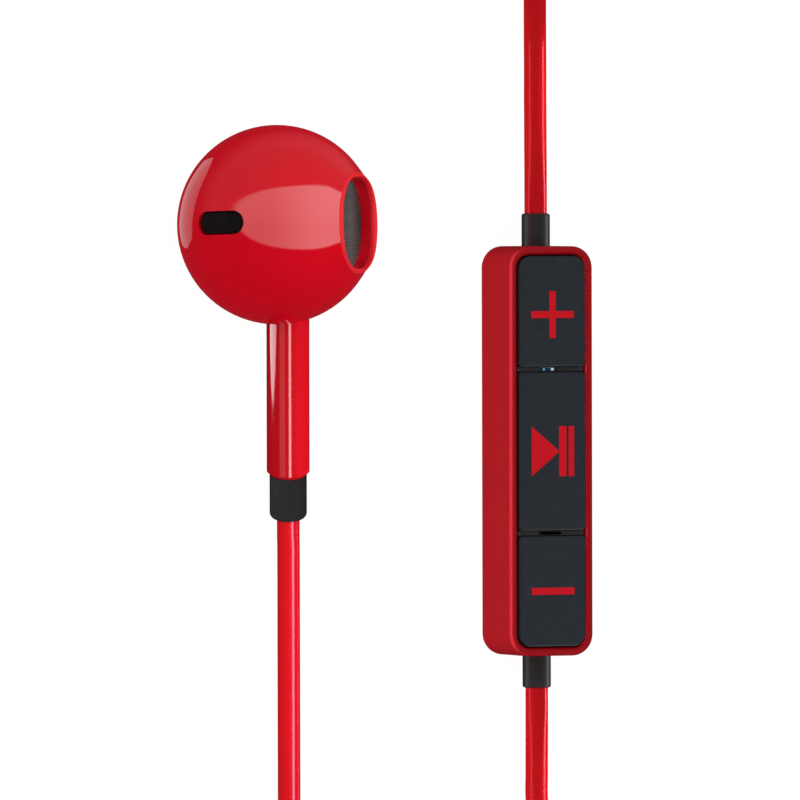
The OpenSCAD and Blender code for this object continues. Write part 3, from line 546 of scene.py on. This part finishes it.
light_pipe = lit_resin(
    "light_pipe",
    [
        (-0.64, 0.22, (0.10, 0.36, 0.50), 0.9),
        (0.22, 0.25, (0.42, 0.66, 0.74), 1.0),
        (0.95, 0.2, (0.16, 0.012, 0.016), 0.5),
    ],
    (0.03, 0.04, 0.045),
)
diode = lit_resin(
    "lamp_diodes", [(x, 0.5, (0.3, 0.6, 0.8), 0.8) for x in (-0.97, 0.22)], (0.5, 0.55, 0.5)
)

# ---------------------------------------------------------------- pieces copied from CAD

# The head's outside: how near the ball a corner lies and how many degrees its normal may lean to
# get the ball's own, and the cosine of the lean up to which reshape leaves a normal as it is
SKIN_REACH, SKIN_ANGLE, OUTWARD = 0.02 * MM, 8, 0.8


def turned(reshape, corners, normals, step=1e-6):
    """The normals after reshape has moved the surface that they stand on at the corners."""
    bend = np.stack(
        [
            (reshape(corners + step * way) - reshape(corners - step * way)) / (2 * step)
            for way in np.eye(3)
        ],
        axis=1,
    )
    return np.linalg.solve(bend, normals[:, :, None])[:, :, 0]


def weld(obj, reach=1e-6):
    """Joins corners that lie at the same place, so that the shading runs across them."""
    bm = bmesh.new()
    bm.from_mesh(obj.data)
    bmesh.ops.remove_doubles(bm, verts=bm.verts, dist=reach)
    bm.to_mesh(obj.data)
    bm.free()
    obj.data.shade_smooth()


def copy_of(cad, name, material, angle=None, keep=None, ball=None, reshape=None):
    """A piece with a CAD node's shape and normals. With an angle it is welded and shaded smooth
    below that angle. keep picks faces by their centre. ball is the centre of the head, whose skin
    gets a ball's own normals. reshape moves an array of points, and the normals turn with them,
    apart from those of the head's outside."""
    source = frame["nodes"][cad].data
    verts = np.array([v.co for v in source.vertices])
    loops_normal = np.array([n.vector for n in source.corner_normals])
    faces, normals = [], []
    for p in source.polygons:
        if keep is None or keep(Vector(p.center)):
            faces.append(tuple(p.vertices))
            normals.extend(loops_normal[list(p.loop_indices)])
    corners, normals = verts[[v for f in faces for v in f]], np.array(normals)
    used = sorted({i for f in faces for i in f})
    index = {v: i for i, v in enumerate(used)}
    verts = verts[used]
    obj = new_object(name, verts, [tuple(index[i] for i in f) for f in faces])
    outside = np.zeros(len(corners), bool)
    if ball is not None:
        out = corners - np.array(ball)
        far = np.linalg.norm(out, axis=1)
        out /= far[:, None]
        facing = (out * normals).sum(axis=1)
        skin = (abs(far - HEAD_R) < SKIN_REACH) & (facing > math.cos(math.radians(SKIN_ANGLE)))
        normals = np.where(skin[:, None], out, normals)
        outside = skin | (facing > OUTWARD)
    if reshape is not None:
        normals = np.where(outside[:, None], normals, turned(reshape, corners, normals))
        normals /= np.linalg.norm(normals, axis=1)[:, None]
        for vertex, point in zip(obj.data.vertices, reshape(verts)):
            vertex.co = point
    if angle is None:
        obj.data.normals_split_custom_set([tuple(n) for n in normals])
    else:
        weld(obj)
        obj.data.set_sharp_from_angle(angle=math.radians(angle))
    obj.data.materials.append(material)
    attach(obj, BODY)
    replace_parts(obj, cad)
    return obj


def disc(name, radius, thick, matrix, material, rings=14, parts=64):
    """A thin round plate, whose front is the XY plane of its own frame."""
    verts, faces = [(0, 0, 0)], []
    for i in range(1, rings + 1):
        r = radius * i / rings
        for j in range(parts):
            a = 2 * math.pi * j / parts
            verts.append((r * math.cos(a), r * math.sin(a), 0))
    for j in range(parts):
        faces.append((0, 1 + j, 1 + (j + 1) % parts))
    for i in range(rings - 1):
        for j in range(parts):
            a, b = 1 + i * parts + j, 1 + i * parts + (j + 1) % parts
            faces.append((a, a + parts, b + parts, b))
    rim = 1 + (rings - 1) * parts
    base = len(verts)
    for j in range(parts):
        x, y, _ = verts[rim + j]
        verts.append((x, y, -thick))
    for j in range(parts):
        k = (j + 1) % parts
        faces.append((rim + j, base + j, base + k, rim + k))
    faces.append(tuple(base + j for j in range(parts))[::-1])
    obj = new_object(name, verts, faces)
    obj.data.set_sharp_from_angle(angle=math.radians(SHARP_ANGLE))
    obj.data.materials.append(material)
    obj.matrix_world = matrix
    return obj


def vent_patch(name, length, width, radius, thick, matrix, material, cols=28, rows=12):
    """A slot-shaped piece of mesh that bends with the ball it is glued into. Its own XY plane is
    the slot's."""
    verts, faces, index = [], [], {}
    for i in range(cols + 1):
        for j in range(rows + 1):
            x = (i / cols - 0.5) * length
            end = max(0.0, abs(x) - (length - width) / 2)
            half = math.sqrt(max(1e-12, (width / 2) ** 2 - end**2))
            y = (2 * j / rows - 1) * half
            index[i, j] = len(verts)
            verts.append((x, y, math.sqrt(radius**2 - x * x - y * y)))
    for i in range(cols):
        for j in range(rows):
            faces.append((index[i, j], index[i + 1, j], index[i + 1, j + 1], index[i, j + 1]))
    obj = new_object(name, verts, faces)
    obj.data.materials.append(material)
    obj.matrix_world = matrix
    solid = obj.modifiers.new("thick", "SOLIDIFY")
    solid.thickness = thick
    solid.offset = -1
    return obj


# The nozzle, as in CAD: places along its axis, radii, and the lip's ring
MESH_FRONT, MESH_R, MESH_THICK, MESH_TURN = 6.75 * MM, 4.46 * MM, 0.2 * MM, 71.8
LIP_R, LIP_RING_R, LIP_AT, LIP_REACH = 0.36 * MM, 4.5 * MM, 7.79 * MM, 0.03 * MM
BORE_R, BORE_REACH, RIM_R, CONE_EDGE_R = 4.12 * MM, 0.1 * MM, 4.86 * MM, 4.81 * MM
# What the mouth becomes: where the change starts, how much of it the cone's edge and the bore's
# foot follow, the low ends' radii, and how square the bore and the rim are
RIM_FROM, CONE_SHARE = 7.6 * MM, 0.4
FOOT_SHARE, FOOT_RISE, FOOT_SLACK = 0.5, 1.5 * MM, 0.01 * MM
LOW_BORE_R, LOW_RIM_R, SQUARE_BORE, SQUARE_RIM = 4.13 * MM, 4.47 * MM, 2.8, 2.3
# The vents, and their meshes, which are a little smaller
VENT_LEN, VENT_W, VENT_POLAR, VENT_TURN = 5.1 * MM, 2.15 * MM, 105, 71
VENT_PLAY, VENT_MESH_DEPTH, VENT_MESH_THICK = 0.1 * MM, 0.3 * MM, 0.8 * MM
# The stem's root in the ball
STEM_REACH, ROOT_FROM, BALL_SLACK = 2.05 * MM, 8.3 * MM, 1.002


def low_mouth(points, nozzle):
    """The nozzle's mouth made lower than it is wide, with flat sides and a lip that is thinner at
    the two low ends. Its wide way is the mesh's own X."""
    matrix = np.array(nozzle)
    local = (points - matrix[:3, 3]) @ matrix[:3, :3]
    r = np.hypot(local[:, 0], local[:, 1])
    outwards = np.clip((r - LIP_RING_R) / (CONE_EDGE_R - LIP_RING_R), 0, 1)
    share = np.where(local[:, 2] > RIM_FROM, 1 - (1 - CONE_SHARE) * outwards, 0)
    on_bore = (local[:, 2] > MESH_FRONT - FOOT_SLACK) & (abs(r - BORE_R) < BORE_REACH)
    bore_share = np.clip(FOOT_SHARE + (local[:, 2] - MESH_FRONT) / FOOT_RISE, 0, 1)
    share = np.where(on_bore, bore_share, share)
    turn, safe_r = math.radians(MESH_TURN), np.maximum(r, 1e-9)
    to_wide = local[:, 0] * math.cos(turn) + local[:, 1] * math.sin(turn)
    to_low = local[:, 1] * math.cos(turn) - local[:, 0] * math.sin(turn)
    to_wide, to_low = abs(to_wide) / safe_r, abs(to_low) / safe_r

    def edge(low, wide, power):
        return ((to_low / low) ** power + (to_wide / wide) ** power) ** (-1 / power)

    inner = edge(LOW_BORE_R, BORE_R, SQUARE_BORE)
    outer = edge(LOW_RIM_R, RIM_R, SQUARE_RIM)
    moved = r + share * (inner + (r - BORE_R) * (outer - inner) / (RIM_R - BORE_R) - r)
    local[:, :2] *= (moved / safe_r)[:, None]
    return local @ matrix[:3, :3].T + matrix[:3, 3]


balls, stems, plain = [], [], []
for side, matrix in SIDES.items():
    nozzle = matrix @ ALONG_NOZZLE

    def on_stem(p, inward=matrix.inverted()):
        q = inward @ p
        off = math.hypot(q.x - STEM_OFFSET, q.y)
        root = off < STEM_REACH and q.length > ROOT_FROM
        return q.z < 0 and (q.length > HEAD_R * BALL_SLACK or root)

    def on_lip(p, inward=nozzle.inverted()):
        q = inward @ p
        off = math.hypot(math.hypot(q.x, q.y) - LIP_RING_R, q.z - LIP_AT)
        return off < LIP_R + LIP_REACH

    def reshape(points, nozzle=nozzle):
        return low_mouth(points, nozzle)

    ball = copy_of(
        f"{side}_rear_housing", f"{side}_rear_shell", shell_red,
        keep=lambda p, f=on_stem: not f(p), ball=matrix.translation,
    )
    stem = copy_of(f"{side}_rear_housing", f"{side}_stem", stem_red, keep=on_stem)
    front = copy_of(
        f"{side}_front_housing", f"{side}_front_shell", shell_red,
        keep=lambda p, f=on_lip: not f(p), ball=matrix.translation, reshape=reshape,
    )
    lip = copy_of(
        f"{side}_front_housing", f"{side}_nozzle_lip", lip_red_painted_bright, keep=on_lip, reshape=reshape
    )
    plate = disc(
        f"{side}_nozzle_weave", MESH_R, MESH_THICK,
        nozzle
        @ Matrix.Translation((0, 0, MESH_FRONT))
        @ Matrix.Rotation(math.radians(MESH_TURN), 4, "Z"),
        mesh_wire,
    )
    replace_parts(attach(plate, BODY), f"{side}_nozzle_mesh")
    balls += [ball, front]
    plain += [lip, plate]
    stems.append(stem)
    for n, way in enumerate((-1, 1)):
        patch = vent_patch(
            f"{side}_vent_weave_{n + 1}", VENT_LEN - VENT_PLAY, VENT_W - VENT_PLAY,
            HEAD_R - VENT_MESH_DEPTH, VENT_MESH_THICK,
            nozzle
            @ Matrix.Rotation(math.radians(180 + way * VENT_TURN), 4, "Z")
            @ Matrix.Rotation(math.radians(VENT_POLAR), 4, "Y"),
            vent_wire,
        )
        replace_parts(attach(patch, BODY), f"{side}_vent_meshes")


def flatten(obj):
    """Keeps the shading of large flat faces flat beside rounded edges."""
    obj.modifiers.new("flat", "WEIGHTED_NORMAL").keep_sharp = True


HARD_ANGLE = 35
housing = copy_of("control_housing", "control_shell", control_red, angle=HARD_ANGLE)
flatten(housing)
caps = []
for key in ("plus", "play", "minus"):
    cap = copy_of(key + "_key", key + "_key_cap", key_black, angle=HARD_ANGLE)
    flatten(cap)
    caps.append(cap)
    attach(cap, key + "_button")

# ---------------------------------------------------------------- contacts in the charging port

CONTACTS, CONTACT_PITCH, CONTACT_SETBACK = 5, 0.65 * MM, 0.2 * MM
CONTACT_LEN, CONTACT_W, CONTACT_UP, CONTACT_DOWN = 2.6 * MM, 0.34 * MM, 0.05 * MM, 0.01 * MM
CONTACT_EDGE = 0.015 * MM
QUADS = [(3, 2, 1, 0), (4, 5, 6, 7), (0, 1, 5, 4), (1, 2, 6, 5), (2, 3, 7, 6), (3, 0, 4, 7)]
low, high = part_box("contact_tongue")
for k in range(CONTACTS):
    y = (low.y + high.y) / 2 + (k - CONTACTS // 2) * CONTACT_PITCH
    x0, x1 = high.x - CONTACT_LEN - CONTACT_SETBACK, high.x - CONTACT_SETBACK
    y0, y1 = y - CONTACT_W / 2, y + CONTACT_W / 2
    corners = [
        (*xy, z)
        for z in (high.z - CONTACT_DOWN, high.z + CONTACT_UP)
        for xy in ((x0, y0), (x1, y0), (x1, y1), (x0, y1))
    ]
    strip = new_object(f"contact_{k + 1}", corners, QUADS, smooth_faces=False)
    strip.data.materials.append(gold)
    rounded = strip.modifiers.new("edges", "BEVEL")
    rounded.width, rounded.segments = CONTACT_EDGE, 2
    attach(strip, BODY)

# ---------------------------------------------------------------- CAD nodes that stay

FINISH = {
    "key_frame": frame_black_painted_light,
    "plus_symbol": symbol_red,
    "play_symbol": symbol_red,
    "minus_symbol": symbol_red,
    "circuit_board": board,
    "key_domes": steel,
    "light_pipe": light_pipe,
    "lamp_diodes": diode,
    "microphone": black_resin,
    "radio_module": steel,
    "chip_antenna": ceramic,
    "battery": foil,
    "battery_pad": foam,
    "charging_port": steel,
    "contact_tongue": black_resin,
    "board_leads": copper,
    "top_relief": relief_black,
    "bottom_relief": relief_black,
    "driver_frame": white,
    "yoke": plated,
    "magnet": magnet,
    "pole_plate": plated,
    "voice_coil": copper,
    "diaphragm": film,
    "driver_cover": thin_metal,
    "terminal_board": board,
    "lead_wires": copper,
    "relief": relief_black,
}
for name, obj in frame["nodes"].items():
    if obj.hide_render:
        continue
    finish = FINISH.get(name) or FINISH[name.split("_", 1)[1]]
    obj.data.materials.clear()
    obj.data.materials.append(finish)
for cord in (left_cord, right_cord):
    cord.data.materials.append(cord_red)
# Gloss shows only the near earpiece and the studio, so nothing else throws specks on the ball
for obj in bpy.data.objects:
    if obj.type == "MESH":
        obj.visible_glossy = obj.name.startswith("left_")

# ---------------------------------------------------------------- floor

FLOOR_HALF, FLOOR_Z = 3, -0.00003
PAPER_GREY, PAPER_GLOW = 0.1, 0.96
floor = new_object(
    "floor",
    [(x * FLOOR_HALF, y * FLOOR_HALF, FLOOR_Z) for x, y in ((-1, -1), (1, -1), (1, 1), (-1, 1))],
    [(0, 1, 2, 3)],
)
paper = bpy.data.materials.new("paper")
paper.cycles.emission_sampling = "NONE"
tree, shader = nodes_of(paper)
shader.inputs["Base Color"].default_value = (PAPER_GREY, PAPER_GREY, PAPER_GREY, 1)
shader.inputs["Roughness"].default_value = 0.9
shader.inputs["Specular IOR Level"].default_value = 0.0
shader.inputs["Emission Color"].default_value = (1, 1, 1, 1)
shader.inputs["Emission Strength"].default_value = PAPER_GLOW
floor.data.materials.append(paper)
floor.visible_glossy = False

# ---------------------------------------------------------------- soft even light from all round

SKY_LIGHT, SKY_SEEN = 0.7, 1.0
sky = bpy.data.worlds.new("studio")
scene.world = sky
sky.use_nodes = True
sky.cycles_visibility.glossy = False
sky.cycles.sampling_method = "NONE"
tree = sky.node_tree
tree.nodes.clear()
soft = node(tree, "ShaderNodeBackground", Strength=SKY_LIGHT)
backdrop = node(tree, "ShaderNodeBackground", Strength=SKY_SEEN)
for background in (soft, backdrop):
    background.inputs["Color"].default_value = (1, 1, 1, 1)
ray = node(tree, "ShaderNodeLightPath")
choose = node(tree, "ShaderNodeMixShader")
tree.links.new(ray.outputs["Is Camera Ray"], choose.inputs["Fac"])
tree.links.new(soft.outputs[0], choose.inputs[1])
tree.links.new(backdrop.outputs[0], choose.inputs[2])
world_out = node(tree, "ShaderNodeOutputWorld")
tree.links.new(choose.outputs[0], world_out.inputs["Surface"])

# ---------------------------------------------------------------- studio boxes, by group of pieces


def dome_mesh(radius, rings=48, parts=96):
    verts, faces = [(0, 0, radius), (0, 0, -radius)], []
    for i in range(1, rings):
        t = math.pi * i / rings
        for j in range(parts):
            a = 2 * math.pi * j / parts
            around = radius * math.sin(t)
            verts.append((around * math.cos(a), around * math.sin(a), radius * math.cos(t)))
    for j in range(parts):
        k = (j + 1) % parts
        faces.append((0, 2 + j, 2 + k))
        last = 2 + (rings - 2) * parts
        faces.append((1, last + k, last + j))
        for i in range(rings - 2):
            a, b = 2 + i * parts + j, 2 + i * parts + k
            faces.append((a, a + parts, b + parts, b))
    return verts, faces


def lights_only(light, pieces):
    """The light shines on these pieces and on nothing else."""
    group = bpy.data.collections.new(light.name + "_group")
    for piece in pieces:
        group.objects.link(piece)
    light.light_linking.receiver_collection = group


def glow(name):
    """A see-through material that gives light, with its tree and its emission node."""
    material = bpy.data.materials.new(name)
    material.use_nodes = True
    material.cycles.emission_sampling = "NONE"
    tree = material.node_tree
    tree.nodes.clear()
    give = node(tree, "ShaderNodeEmission")
    clear = node(tree, "ShaderNodeBsdfTransparent")
    both = node(tree, "ShaderNodeAddShader")
    out = node(tree, "ShaderNodeOutputMaterial")
    tree.links.new(give.outputs[0], both.inputs[0])
    tree.links.new(clear.outputs[0], both.inputs[1])
    tree.links.new(both.outputs[0], out.inputs["Surface"])
    return material, tree, give


# The large box overhead, in directions of length 1: its middle, its half sides, how square its
# outline is, how soft its edge is, its strength at the -X side and what the +X side adds, and
# where in X the strength begins and ends to rise
PANEL_AT, PANEL_HALF, PANEL_POWER, PANEL_EDGE = (0.0, 0.127), (0.945, 0.575), 2.4, 0.07
PANEL_DIM, PANEL_MORE, PANEL_RISE = 1.84, 1.58, (-0.7, 0.55)
# What the gloss shows everywhere, and what it shows more towards +Y, where it looks up enough
GLOSS_BASE, GLOSS_BACK, BACK_RISE, BACK_UP = 0.02, 0.3, (-0.1, 0.3), (-0.8, -0.2)
# The share of the box that falls on the earpieces as soft light, and the even light beside it
FILL_SHARE, FILL_BASE = 0.47, 0.02
BELOW_RED, BELOW_FROM, BELOW_TO = (0.3, 0.004, 0.012), 0.48, 0.36


def panel(tree):
    """The strength of the box overhead by direction. Also gives the direction's Y and Z."""
    where = node(tree, "ShaderNodeTexCoord")
    unit = node(tree, "ShaderNodeVectorMath", operation="NORMALIZE")
    tree.links.new(where.outputs["Object"], unit.inputs[0])
    apart = node(tree, "ShaderNodeSeparateXYZ")
    tree.links.new(unit.outputs["Vector"], apart.inputs["Vector"])
    px, py, pz = (apart.outputs[k] for k in "XYZ")
    out = []
    for value, middle, half in zip((px, py), PANEL_AT, PANEL_HALF):
        away = calc(tree, "DIVIDE", calc(tree, "SUBTRACT", value, middle), half)
        out.append(calc(tree, "POWER", calc(tree, "ABSOLUTE", away), PANEL_POWER))
    inside = smoothstep(tree, calc(tree, "ADD", *out), 1 + PANEL_EDGE, 1 - PANEL_EDGE)
    above = calc(tree, "MULTIPLY", inside, calc(tree, "GREATER_THAN", pz, 0.0))
    slant = calc(
        tree, "MULTIPLY_ADD", smoothstep(tree, px, *PANEL_RISE), PANEL_MORE, PANEL_DIM
    )
    return calc(tree, "MULTIPLY", above, slant), py, pz


def box_around(name, radius, pieces, material, diffuse, glossy):
    """A dome with a glowing material round everything, which lights only the pieces."""
    dome = new_object(name, *dome_mesh(radius))
    dome.visible_camera = dome.visible_shadow = False
    dome.visible_transmission = dome.visible_volume_scatter = False
    dome.visible_diffuse, dome.visible_glossy = diffuse, glossy
    dome.data.materials.append(material)
    lights_only(dome, pieces)


def card(name, points, pieces, strength, color=(1, 1, 1)):
    """A flat glowing card that shows only in the pieces' gloss."""
    obj = new_object(name, points, [tuple(range(len(points)))])
    obj.visible_camera = obj.visible_shadow = False
    obj.visible_diffuse = obj.visible_transmission = False
    lights_only(obj, pieces)
    material, _, give = glow(name + "_glow")
    give.inputs["Strength"].default_value = strength
    give.inputs["Color"].default_value = (*color, 1)
    obj.data.materials.append(material)


# The box overhead as the earpieces reflect it
material, tree, give = glow("soft_box")
overhead, py, pz = panel(tree)
back = calc(tree, "MULTIPLY", smoothstep(tree, py, *BACK_RISE), GLOSS_BACK)
back = calc(tree, "MULTIPLY", smoothstep(tree, pz, *BACK_UP), back)
shown = calc(tree, "ADD", overhead, calc(tree, "ADD", back, GLOSS_BASE))
tree.links.new(shown, give.inputs["Strength"])
box_around("soft_box_dome", 2.0, balls, material, diffuse=False, glossy=True)

# What the earpieces' edges reflect from below: their own red on the floor
material, tree, give = glow("below")
below = smoothstep(tree, places(tree, "Generated")["Z"], BELOW_FROM, BELOW_TO)
tree.links.new(below, give.inputs["Strength"])
give.inputs["Color"].default_value = (*BELOW_RED, 1)
box_around("below_dome", 1.9, balls, material, diffuse=False, glossy=True)

# The soft light that the box overhead gives them
material, tree, give = glow("soft_box_fill")
shown = calc(tree, "MULTIPLY_ADD", panel(tree)[0], FILL_SHARE, FILL_BASE)
tree.links.new(shown, give.inputs["Strength"])
box_around("soft_box_fill_dome", 2.1, balls + stems + plain, material, diffuse=True, glossy=False)

# A pale card under the left of the near head, which gives the bright crescent at its edge
CARD_Z = 0.0001
CRESCENT = [
    (-35.7, 30.0), (-37.4, 33.4), (-40.4, 33.9), (-43.2, 32.9), (-45.1, 31.0), (-46.2, 28.8),
    (-46.9, 26.5), (-47.1, 24.6), (-47.0, 22.9), (-46.8, 21.1), (-46.5, 19.3), (-45.4, 17.9),
    (-41.2, 17.2), (-38.9, 18.0), (-38.2, 19.0), (-38.0, 21.0), (-38.0, 22.9), (-37.6, 24.8),
    (-37.0, 26.9), (-36.6, 28.1),
]
card(
    "crescent_card", [(x * MM, y * MM, CARD_Z) for x, y in CRESCENT], balls, 0.78, (0.75, 1, 1)
)

# A light that only brightens, where the others only show in gloss
DIFFUSE = {"diffuse": True, "glossy": False}
# The renderer spreads a flat light's power over four times its area
AREAS = 4


def soft_light(
    name, at, direction, distance, along, size, radiance, pieces,
    color=(1, 1, 1), diffuse=False, glossy=True, shadow=False,
):
    """A rectangular light that lies in a direction from the point at, and faces it. The second
    number of size is its side along the direction along. Points, distance and size are in mm,
    and radiance is what its face shows."""
    data = bpy.data.lights.new(name, "AREA")
    data.shape = "RECTANGLE"
    data.size, data.size_y = size[0] * MM, size[1] * MM
    data.energy = radiance * AREAS * data.size * data.size_y
    data.color = color
    data.use_shadow = shadow
    light = bpy.data.objects.new(name, data)
    scene.collection.objects.link(light)
    back = Vector(direction).normalized()
    y = Vector(along).normalized()
    x = y.cross(back).normalized()
    y = back.cross(x)
    light.matrix_world = (
        Matrix.Translation(Vector(at) * MM + back * distance * MM)
        @ Matrix((x, y, back)).transposed().to_4x4()
    )
    light.visible_camera = False
    light.visible_diffuse, light.visible_glossy = diffuse, glossy
    lights_only(light, pieces)


# ---- stems: a narrow strip, a faint wide one, a soft light from the right, and at the left a
# bright band, a card whose end shows near the head
STEM_AT, STEM_WAY = (-25.95, 5.35, 5.1), (0.125, -0.949, -0.289)
STEM_RIGHT, STEM_UP = Vector((0.914, -0.003, 0.407)), Vector((-0.387, -0.314, 0.867))
ALONG_SHARE, ACROSS_SHARE = 0.331, 0.944
# The card's distance, and its outline: places across the stem and along it, from the strip's middle
BAND_AWAY = 60
BAND = [(-27, -40), (-27, -6), (-19, -3), (-8, -0.8), (3, 0), (13, -1), (24, -4), (24, -40)]


def by_stem(angle):
    """The way that the stem's surface reflects the camera, by the angle about the stem from the
    upper side."""
    a = math.radians(angle)
    across = math.sin(a) * STEM_RIGHT + math.cos(a) * STEM_UP
    return ALONG_SHARE * Vector(STEM_WAY) + ACROSS_SHARE * across


soft_light("stem_strip", STEM_AT, by_stem(11), 60, STEM_WAY, (12, 60), 6.5, stems)
soft_light("stem_sheen", STEM_AT, by_stem(-30), 60, STEM_WAY, (30, 60), 0.55, stems)
soft_light("stem_fill", STEM_AT, by_stem(68), 80, STEM_WAY, (70, 90), 2.3, stems, **DIFFUSE)
back = by_stem(-88).normalized()
down = (Vector(STEM_WAY) - back * back.dot(Vector(STEM_WAY))).normalized()
aside, band_at = down.cross(back), Vector(STEM_AT) + back * BAND_AWAY
card("stem_band", [tuple((band_at + aside * v + down * u) * MM) for v, u in BAND], stems, 7.0)

# ---- control: the rim's left edge, and the right edges of the cords, reliefs and keys
along_y = (0, 1, 0)
grommets = [frame["nodes"]["top_relief"], frame["nodes"]["bottom_relief"]]
cords = [left_cord, right_cord]


def lean(angle):
    """Straight up, turned towards +X."""
    return (math.sin(math.radians(angle)), 0, math.cos(math.radians(angle)))


def by_control(name, x, z, angle, distance, size, radiance, pieces, **more):
    """A light beside the control or its cords, seen from x, z at the angle from straight up
    towards +X."""
    soft_light(name, (x, 0, z), lean(angle), distance, along_y, size, radiance, pieces, **more)


by_control(
    "rim_strip", -4, 6.5, -62, 9, (13, 76), 17.0, [housing], color=(1, 0.15, 0.18), shadow=True
)
by_control("side_fill", -5.5, 3.3, -90, 10, (6, 60), 0.8, [housing], shadow=True, **DIFFUSE)
by_control(
    "cord_edge_right", 0.95, 2.4, 69, 8, (2.6, 76), 14.0, cords, color=(1, 0.2, 0.24), shadow=True
)
by_control("cord_edge_left", 0.95, 2.4, -89, 8, (2.2, 76), 4.0, cords, color=(1, 0.2, 0.22))
by_control("cord_fill_right", 0.95, 2, 69, 4, (1.1, 76), 5.0, cords, **DIFFUSE)
by_control("cord_fill_left", 0.95, 2, -89, 4, (1.1, 76), 0.9, cords, **DIFFUSE)
by_control("relief_edge_right", 0, 3.2, 80, 120, (40, 220), 2.2, grommets)
by_control("relief_edge_left", 0, 3.2, -110, 120, (40, 220), 1.0, grommets)
soft_light("key_front_edge", (0, 0, 6.9), (0.39, -0.87, 0.3), 100, (1, 0, 0), (60, 60), 4.0, caps)

# ---- the near cord, below the earpiece
NEAR_CORD_AT = (-24.3, -14, 1.1)
soft_light(
    "near_cord_box", NEAR_CORD_AT, lean(23), 12, along_y, (4.2, 48), 7.5, [left_cord],
    color=(0.85, 1.0, 1.9),
)
soft_light(
    "near_cord_fill", NEAR_CORD_AT, lean(0), 12, along_y, (5.0, 48), 2.6, [left_cord], **DIFFUSE
)

scene.view_settings.view_transform = "Standard"
